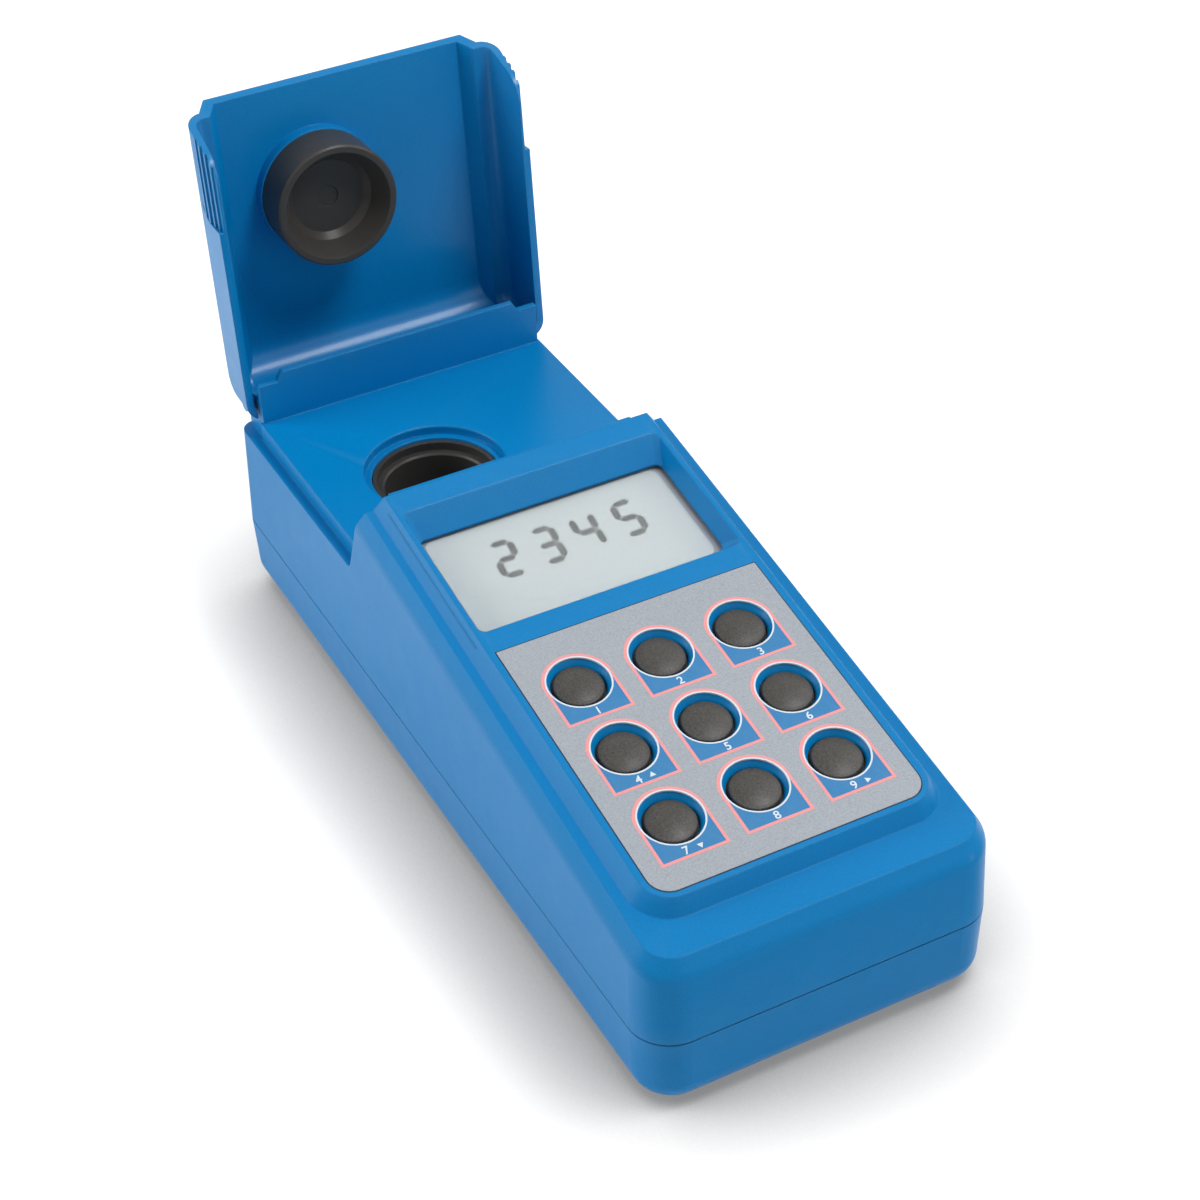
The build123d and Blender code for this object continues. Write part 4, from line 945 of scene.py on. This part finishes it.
def past_ring(edge: Outline, least: float, centre: tuple[float, float]) -> Outline:
    """Outline that follows an edge, but never comes nearer to the centre than a radius.

    Formula: each point of the edge keeps its direction from the centre, and its distance is the
    larger one of its own and the radius.

    Args:
        edge: The edge to follow.
        least: The radius.
        centre: The centre.

    Returns:
        The outline as a function of the angle.
    """

    def outline(t: np.ndarray) -> np.ndarray:
        """Points of the outline at the angles t."""
        points = edge(t) - centre
        reach = np.linalg.norm(points, axis=1, keepdims=True)
        return centre + points * np.maximum(reach, least) / reach

    return outline


@dataclass
class KeyCap:
    """Domed key cap with its flange and stem, in millimetres.

    Levels are heights above the console plane.

    Args:
        paint: Where the finishes come from.
        console: Plane of the keypad.
        radius: Radius of the cap.
        pole: Radius of the small flat at the top of the dome.
        top: Level of the dome's top.
        sag: How far the dome falls towards its rim.
        roll: Radius of the rolled rim.
        roll_start: Angle in radians at which the roll leaves the dome.
        roll_lift: Height that joins the roll to the dome.
        skirt: Level at which the cap's side meets the flange.
        flange_radius: Radius of the flange.
        flange_top: Level of the flange's top at its rim.
        flange_foot: Level of its underside.
        stem_root: Radius of the stem at the flange.
        stem_tip: Radius of the stem at its end.
        stem_pole: Radius of the small flat at the stem's end.
        stem_foot: Level of the stem's end.
        dome_steps: Rings of points on the dome.
        rim_steps: Rings of points on the rolled rim.
    """

    paint: Paintbox
    console: Console
    radius: float = 5.85
    pole: float = 0.4
    top: float = -0.1
    sag: float = 1.15
    roll: float = 0.6
    roll_start: float = 0.25
    roll_lift: float = 0.02
    skirt: float = -2.8
    flange_radius: float = 7.0
    flange_top: float = -2.82
    flange_foot: float = -3.8
    stem_root: float = 1.85
    stem_tip: float = 1.8
    stem_pole: float = 0.3
    stem_foot: float = -4.8
    dome_steps: int = 12
    rim_steps: int = 6

    def build(self, number: int, centre: tuple[float, float]) -> None:
        """Makes one key cap in the place of its CAD node.

        Args:
            number: Number of the key.
            centre: x and v of the key.
        """
        key = turned(f"key_cap_{number}", self._profile(), centre, self.console)
        self.paint.dress(key, "key_dark")
        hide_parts(f"key_{number}")
        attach(key, f"key_{number}")

    def _profile(self) -> np.ndarray:
        """Half section of the cap, from the top of the dome to the end of the stem.

        Formula: the top is a shallow dome n = top - sag (r / R)^2 that rolls over into the side
        with a quarter circle.

        Returns:
            Array of radius and height.
        """
        r, roll = self.radius, self.roll
        dome_r = np.linspace(self.pole, r - roll, self.dome_steps)
        dome = np.column_stack([dome_r, self.top - self.sag * (dome_r / r) ** 2])
        turn = np.linspace(self.roll_start, math.pi / 2, self.rim_steps)
        edge = dome[-1, 1] + self.roll_lift
        rim = np.column_stack([r - roll + roll * np.sin(turn), edge - roll + roll * np.cos(turn)])
        under = np.array(
            [
                [r, self.skirt],
                [self.flange_radius, self.flange_top],
                [self.flange_radius, self.flange_foot],
                [self.stem_root, self.flange_foot],
                [self.stem_tip, self.stem_foot],
                [self.stem_pole, self.stem_foot],
            ]
        )
        return np.concatenate([dome, rim, under])


# Half-thickness of a printed figure, how far its strokes are swollen, and points on its curves
FIGURE_EXTRUDE = 0.02
FIGURE_SWELL = 0.04
FIGURE_STEPS = 4


def printed_figure(
    name: str, words: str, size: float, centre: np.ndarray, level: float, console: Console
) -> bpy.types.Object:
    """Printed figure in a plain upright letter form, laid on the console.

    Formula: each corner of the flat letter form, less their middle, keeps its x, and its y
    becomes the distance up the slope.

    Args:
        name: Name of the piece.
        words: The figure.
        size: Height of the letter body in millimetres.
        centre: x and v of its middle.
        level: Height of its middle above the console plane.
        console: Plane that it lies on.

    Returns:
        The piece.
    """
    curve = bpy.data.curves.new(name, "FONT")
    curve.body = words
    curve.size = size
    curve.extrude = FIGURE_EXTRUDE
    curve.offset = FIGURE_SWELL
    curve.resolution_u = FIGURE_STEPS
    letter = bpy.data.objects.new(name + "_curve", curve)
    mesh = bpy.data.meshes.new_from_object(letter)
    corners = np.empty(len(mesh.vertices) * 3)
    mesh.vertices.foreach_get("co", corners)
    corners = corners.reshape(-1, 3)
    faces = [list(face.vertices) for face in mesh.polygons]
    bpy.data.objects.remove(letter)
    bpy.data.meshes.remove(mesh)
    middle = (corners.min(axis=0) + corners.max(axis=0)) / 2
    corners = corners - middle + np.array([*centre, level])
    return mesh_piece(name, console.place(corners), faces, smooth=False)


# Bars of each figure: a on top, then clockwise to f, and g across the middle
SEGMENTS = {
    "0": "abcdef",
    "1": "bc",
    "2": "abged",
    "3": "abgcd",
    "4": "fgbc",
    "5": "afgcd",
    "6": "afgedc",
    "7": "abc",
    "8": "abcdefg",
    "9": "abcdfg",
}


# Gap at each end of a bar, as a share of its thickness
BAR_GAP = 0.09


def figure_strokes(figure: str, half: float, height: float, width: float) -> list[np.ndarray]:
    """Strokes of a plain seven-bar figure, each with pointed ends.

    Formula: every bar is the hexagon of a straight stroke between two joints, drawn in by a
    small gap at each end.

    Args:
        figure: The digit.
        half: Half of its width.
        height: Its height.
        width: Thickness of a stroke.

    Returns:
        Outlines of the strokes, about the figure's middle.
    """
    up, w = height / 2, half if figure != "1" else 0.0
    joints = {
        "a": ((-w, up), (w, up)),
        "b": ((w, up), (w, 0)),
        "c": ((w, 0), (w, -up)),
        "d": ((w, -up), (-w, -up)),
        "e": ((-w, -up), (-w, 0)),
        "f": ((-w, 0), (-w, up)),
        "g": ((-w, 0), (w, 0)),
    }
    strokes = []
    for name in SEGMENTS[figure]:
        a, b = (np.array(p, float) for p in joints[name])
        along = (b - a) / np.linalg.norm(b - a)
        side = np.array([-along[1], along[0]]) * width / 2
        a, b = a + along * width * BAR_GAP, b - along * width * BAR_GAP
        tip = along * width / 2
        strokes.append(np.array([a, a + tip - side, b - tip - side, b, b - tip + side, a + tip + side]))
    return strokes


@dataclass
class Display:
    """Liquid crystal display behind its window, in millimetres.

    Args:
        paint: Where the finishes come from.
        console: Plane of the console.
        depth: Depth of the glass below the console plane.
        left: Left edge of the shown face.
        right: Right edge of the shown face.
        front: Front edge of the shown face along the body.
        rear: Rear edge of the shown face along the body.
        corner: Radius of its corners.
        face_levels: Underside and top of the face above the glass.
        bar_levels: Underside and top of a stroke above the glass.
        reading: The figures shown.
        starts: Left edge of each figure.
        figure_width: Width of a figure.
        figure_height: Height of a figure.
        figure_y: Place of the figures' middle along the body.
        stroke: Thickness of a stroke.
        lean: Slant of the figures, as x for each step up.
    """

    paint: Paintbox
    console: Console
    depth: float = 6.6
    left: float = -30.8
    right: float = 30.8
    front: float = -11.9
    rear: float = 19.1
    corner: float = 2.4
    face_levels: tuple[float, float] = (-0.02, 0.05)
    bar_levels: tuple[float, float] = (0.04, 0.07)
    reading: str = "2345"
    starts: tuple[float, ...] = (-18.2, -7.4, 3.0, 14.05)
    figure_width: float = 6.6
    figure_height: float = 12.2
    figure_y: float = 6.8
    stroke: float = 1.75
    lean: float = 0.08

    def build(self) -> None:
        """Makes the face and the reading."""
        c = self.console
        shown = rounded_box(self.left, self.right, c.slope(self.front), c.slope(self.rear), self.corner)
        self._lay("display_face", shown, self.face_levels, "glass_face")
        half = (self.figure_width - self.stroke) / 2
        for place, (figure, start) in enumerate(zip(self.reading, self.starts)):
            middle = np.array([start + self.figure_width / 2, c.slope(self.figure_y)])
            strokes = figure_strokes(figure, half, self.figure_height - self.stroke, self.stroke)
            for part, stroke in enumerate(strokes):
                slant = np.column_stack([stroke[:, 1] * self.lean, np.zeros(len(stroke))])
                self._lay(f"reading_{place}_{part}", stroke + slant + middle, self.bar_levels, "segment_grey")
        LOG.info("display: face and a plain reading")

    def _lay(self, name: str, outline: np.ndarray, levels: tuple[float, float], finish: str) -> None:
        """Lays a thin plate on the glass.

        Args:
            name: Name of the piece.
            outline: Its corners in x and v.
            levels: Its underside and top above the glass.
            finish: Name of its finish.
        """
        low, high = (level - self.depth for level in levels)
        plate = slab(name, outline, low, high, self.console)
        self.paint.dress(plate, finish)
        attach(plate, "body")


@dataclass
class Casework:
    """Moulded and bought-in CAD nodes that keep their own shape.

    Args:
        paint: Where the finishes come from.
        nodes: CAD nodes by name.
        finishes: Finish of each node that stays in view.
    """

    paint: Paintbox
    nodes: dict[str, bpy.types.Object]
    finishes: dict[str, str] = field(
        default_factory=lambda: {
            "bottom_housing": "body_blue",
            "top_housing": "body_blue",
            "lid": "lid_blue",
            "battery_door": "door_blue",
            "light_cup": "cup_black",
            "cuvette_holder": "cup_black",
            "optical_block": "block_black",
            "power_jack": "cup_black",
            "keypad_overlay": "membrane_grey",
            "lcd_window": "window_clear",
            "lcd_panel": "glass_rim",
            "display_board": "board_green",
            "key_board": "board_green",
            "main_board": "board_green",
            "board_components": "component_black",
            "ribbon_cable": "cable_grey",
            "batteries": "battery_wrap",
            "battery_contacts": "nickel",
            "key_switches": "nickel",
            "hinge_pins": "steel",
            "case_screws": "steel",
            "board_screws": "steel",
            "lamp": "detector_can",
            "scatter_detector": "detector_can",
            "transmitted_detector": "detector_can",
            "rubber_feet": "foot_rubber",
        }
    )

    def build(self) -> None:
        """Dresses every CAD node that stays in view."""
        for name, node in self.nodes.items():
            if name in self.finishes:
                self.paint.dress(node, self.finishes[name])
                LOG.info("%s: %s", name, self.finishes[name])


@dataclass(frozen=True)
class Lamp:
    """One soft square lamp that points at the meter.

    Args:
        name: Name of the lamp.
        place: Where it stands, in metres.
        size: Side of its square, in metres.
        power: Power in watts.
    """

    name: str
    place: tuple[float, float, float]
    size: float
    power: float


@dataclass
class Studio:
    """Pale floor, soft lamps and the camera of the photograph, in metres.

    Args:
        lamps: A lamp overhead to the right, and fills from the right, the left and the front.
        aim: Point that the lamps are turned to.
        ambient: Strength of the even light.
        floor_half: Half of the floor's side.
        floor_level: Level of the floor, just under the feet.
        floor_white: Its colour in the light that it throws back.
        floor_roughness: Its roughness.
        floor_sheen: Its specular level.
        front_dark: Its colour in mirror images in front of the meter, dark blue, which paints a darker
            reflection into the meter's walls.
        front_edge: Where along the body that painted dark reflection ends.
        shadow_reach: How near a thing has to be to shade the floor.
        shadow_samples: Rays that find the shade.
        shadow_range: Openness at which the shade is deepest, and at which it ends.
        shadow_depth: Brightness in the deepest shade.
        floor_diffuse: Colour that the camera sees lit by the lamps.
        floor_glow: Even brightness that the camera sees on top of it.
        film: Width of the camera's film in millimetres.
        lens: Focal length in millimetres.
        shift: Shift of the picture to the right and up, as shares of the film.
        stand: Where the camera stands.
        turn: Its turns about X, Y and Z in degrees.
    """

    lamps: tuple[Lamp, ...] = (
        Lamp("overhead", (0.36, -0.34, 1.02), 0.32, 7.2),
        Lamp("right", (0.95, 0.1, 0.75), 0.5, 2.6),
        Lamp("left", (-0.85, 0.4, 0.52), 0.6, 7.0),
        Lamp("front", (0.3, -1.1, 0.6), 0.6, 1.3),
    )
    aim: tuple[float, float, float] = (0.0, 0.0, 0.05)
    ambient: float = 0.28
    floor_half: float = 3.0
    floor_level: float = -0.0002
    floor_white: tuple[float, ...] = (0.9, 0.9, 0.9, 1.0)
    floor_roughness: float = 0.9
    floor_sheen: float = 0.1
    front_dark: tuple[float, ...] = (0.12, 0.3, 0.4, 1.0)
    front_edge: tuple[float, float] = (-0.135, -0.11)
    shadow_reach: float = 0.042
    shadow_samples: int = 12
    shadow_range: tuple[float, float] = (0.42, 0.97)
    shadow_depth: float = 0.28
    floor_diffuse: tuple[float, ...] = (0.4, 0.392, 0.385, 1.0)
    floor_glow: float = 0.82
    film: float = 36.0
    lens: float = 77.094
    shift: tuple[float, float] = (0.01276, 0.03562)
    stand: tuple[float, float, float] = (-0.210901, -0.439083, 0.417419)
    turn: tuple[float, float, float] = (51.4805, 1.9375, -27.6449)

    def build(self) -> None:
        """Sets up the floor, the world, the lamps and the camera."""
        self._world()
        self._floor()
        self._lamps()
        self._camera()

    def _world(self) -> None:
        """White to the camera and in reflections, a mild even light otherwise."""
        world = bpy.data.worlds.new("studio")
        bpy.context.scene.world = world
        world.use_nodes = True
        n, link = world.node_tree.nodes, world.node_tree.links.new
        base = n["Background"]
        base.inputs["Color"].default_value = (1.0, 1.0, 1.0, 1.0)
        path = add_node(n, "LightPath")
        seen = add_node(n, "Mix", {"A": self.ambient, "B": 1.0}, data_type="FLOAT")
        background = path.outputs["Is Camera Ray"]
        for ray in ("Is Glossy Ray", "Is Transmission Ray"):
            either = add_node(n, "Math", operation="MAXIMUM")
            link(background, either.inputs[0])
            link(path.outputs[ray], either.inputs[1])
            background = either.outputs[0]
        link(background, seen.inputs["Factor"])
        link(seen.outputs["Result"], base.inputs["Strength"])

    def _floor(self) -> None:
        """Square floor under the meter."""
        corners = np.array([[-1, -1], [1, -1], [1, 1], [-1, 1]]) * self.floor_half
        points = np.column_stack([corners, np.full(4, self.floor_level)])
        floor = mesh_piece("floor", points, [[0, 1, 2, 3]], smooth=False)
        floor.data.materials.append(self._floor_finish())

    def _floor_finish(self) -> bpy.types.Material:
        """White floor that is clear from below.

        The camera sees it with a soft shade near the meter, light sees it plain, and mirror images see it
        dark blue in front of the meter, as a painted reflection.

        Returns:
            The material.
        """
        material = bpy.data.materials.new("floor_white")
        material.use_nodes = True
        tree = material.node_tree
        n, link = tree.nodes, tree.links.new
        self._floor_mirrored(tree)
        path = add_node(n, "LightPath")
        geometry = add_node(n, "NewGeometry")
        clear = add_node(n, "BsdfTransparent")
        pick = add_node(n, "MixShader")
        below = add_node(n, "MixShader")
        link(path.outputs["Is Camera Ray"], pick.inputs["Fac"])
        link(n["Principled BSDF"].outputs["BSDF"], pick.inputs[1])
        link(self._floor_seen(tree), pick.inputs[2])
        link(geometry.outputs["Backfacing"], below.inputs["Fac"])
        link(pick.outputs["Shader"], below.inputs[1])
        link(clear.outputs["BSDF"], below.inputs[2])
        link(below.outputs["Shader"], n["Material Output"].inputs["Surface"])
        return material

    def _floor_mirrored(self, tree: bpy.types.NodeTree) -> None:
        """Floor as light and mirror images meet it: white to light, but dark blue in mirror images in front
        of the meter, which paints a darker reflection into the meter's walls.

        Args:
            tree: Nodes of the floor's material.
        """
        n, link = tree.nodes, tree.links.new
        shader = n["Principled BSDF"]
        shader.inputs["Roughness"].default_value = self.floor_roughness
        shader.inputs["Specular IOR Level"].default_value = self.floor_sheen
        path = add_node(n, "LightPath")
        coord = add_node(n, "TexCoord")
        axes = add_node(n, "SeparateXYZ")
        start, end = self.front_edge
        front = add_node(n, "MapRange", {"From Min": start, "From Max": end})
        # Painted reflection: dark blue floor in front of the meter, seen only in mirror images
        painted_reflection_colour = add_node(n, "Mix", {"A": self.front_dark, "B": (1.0, 1.0, 1.0, 1.0)}, data_type="RGBA")
        colour = add_node(n, "Mix", {"A": self.floor_white}, data_type="RGBA")
        link(coord.outputs["Object"], axes.inputs["Vector"])
        link(axes.outputs["Y"], front.inputs["Value"])
        link(front.outputs["Result"], painted_reflection_colour.inputs["Factor"])
        link(painted_reflection_colour.outputs["Result"], colour.inputs["B"])
        link(path.outputs["Is Glossy Ray"], colour.inputs["Factor"])
        link(colour.outputs["Result"], shader.inputs["Base Color"])

    def _floor_seen(self, tree: bpy.types.NodeTree) -> bpy.types.NodeSocket:
        """Floor as the camera sees it: nearly white, with a soft shade close to the meter.

        Args:
            tree: Nodes of the floor's material.

        Returns:
            Output of the finished shader.
        """
        n, link = tree.nodes, tree.links.new
        reach = {"Distance": self.shadow_reach}
        nearness = add_node(n, "AmbientOcclusion", reach, samples=self.shadow_samples)
        deepest, end = self.shadow_range
        limits = {"From Min": deepest, "From Max": end, "To Min": self.shadow_depth}
        shade = add_node(n, "MapRange", limits)
        ends = {"A": (0.0, 0.0, 0.0, 1.0), "B": self.floor_diffuse}
        lit = add_node(n, "Mix", ends, data_type="RGBA")
        level = add_node(n, "Math", {1: self.floor_glow}, operation="MULTIPLY")
        surface = add_node(n, "BsdfDiffuse")
        glow = add_node(n, "Emission")
        seen = add_node(n, "AddShader")
        link(nearness.outputs["AO"], shade.inputs["Value"])
        link(shade.outputs["Result"], lit.inputs["Factor"])
        link(shade.outputs["Result"], level.inputs[0])
        link(lit.outputs["Result"], surface.inputs["Color"])
        link(level.outputs[0], glow.inputs["Strength"])
        link(surface.outputs["BSDF"], seen.inputs[0])
        link(glow.outputs["Emission"], seen.inputs[1])
        return seen.outputs["Shader"]

    def _lamps(self) -> None:
        """Places the lamps and turns them to the meter."""
        for lamp in self.lamps:
            light = bpy.data.lights.new(lamp.name, "AREA")
            light.size = lamp.size
            light.energy = lamp.power
            holder = bpy.data.objects.new(lamp.name, light)
            holder.location = lamp.place
            holder.rotation_euler = direction_euler(np.array(self.aim) - np.array(lamp.place))
            bpy.context.scene.collection.objects.link(holder)

    def _camera(self) -> None:
        """Camera found from the photograph's own perspective."""
        data = bpy.data.cameras.new("photo_camera")
        data.sensor_width = self.film
        data.lens = self.lens
        data.shift_x, data.shift_y = self.shift
        camera = bpy.data.objects.new("photo_camera", data)
        camera.location = self.stand
        camera.rotation_euler = [math.radians(angle) for angle in self.turn]
        bpy.context.scene.collection.objects.link(camera)
        bpy.context.scene.camera = camera


def direction_euler(aim: np.ndarray) -> tuple[float, float, float]:
    """Turn that points a lamp's -Z along a direction.

    Args:
        aim: The direction.

    Returns:
        Angles about X, Y and Z.
    """
    x, y, z = aim / np.linalg.norm(aim)
    return math.acos(-z), 0.0, math.atan2(-x, y) if abs(x) + abs(y) > TINY else 0.0


def clear_scene() -> None:
    """Removes what a new Blender file holds."""
    for obj in list(bpy.data.objects):
        bpy.data.objects.remove(obj)


def main() -> None:
    """Builds the looks in order."""
    logging.basicConfig(level=logging.INFO, format="%(name)s: %(message)s")
    clear_scene()
    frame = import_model()
    paint = Paintbox(Effects())
    console = Console()
    Casework(paint, frame["nodes"]).build()
    Keypad(paint, console).build()
    Display(paint, console).build()
    Studio().build()
    bpy.context.scene.view_settings.view_transform = "Standard"
    LOG.info("sizes written")


if __name__ == "__main__":
    main()
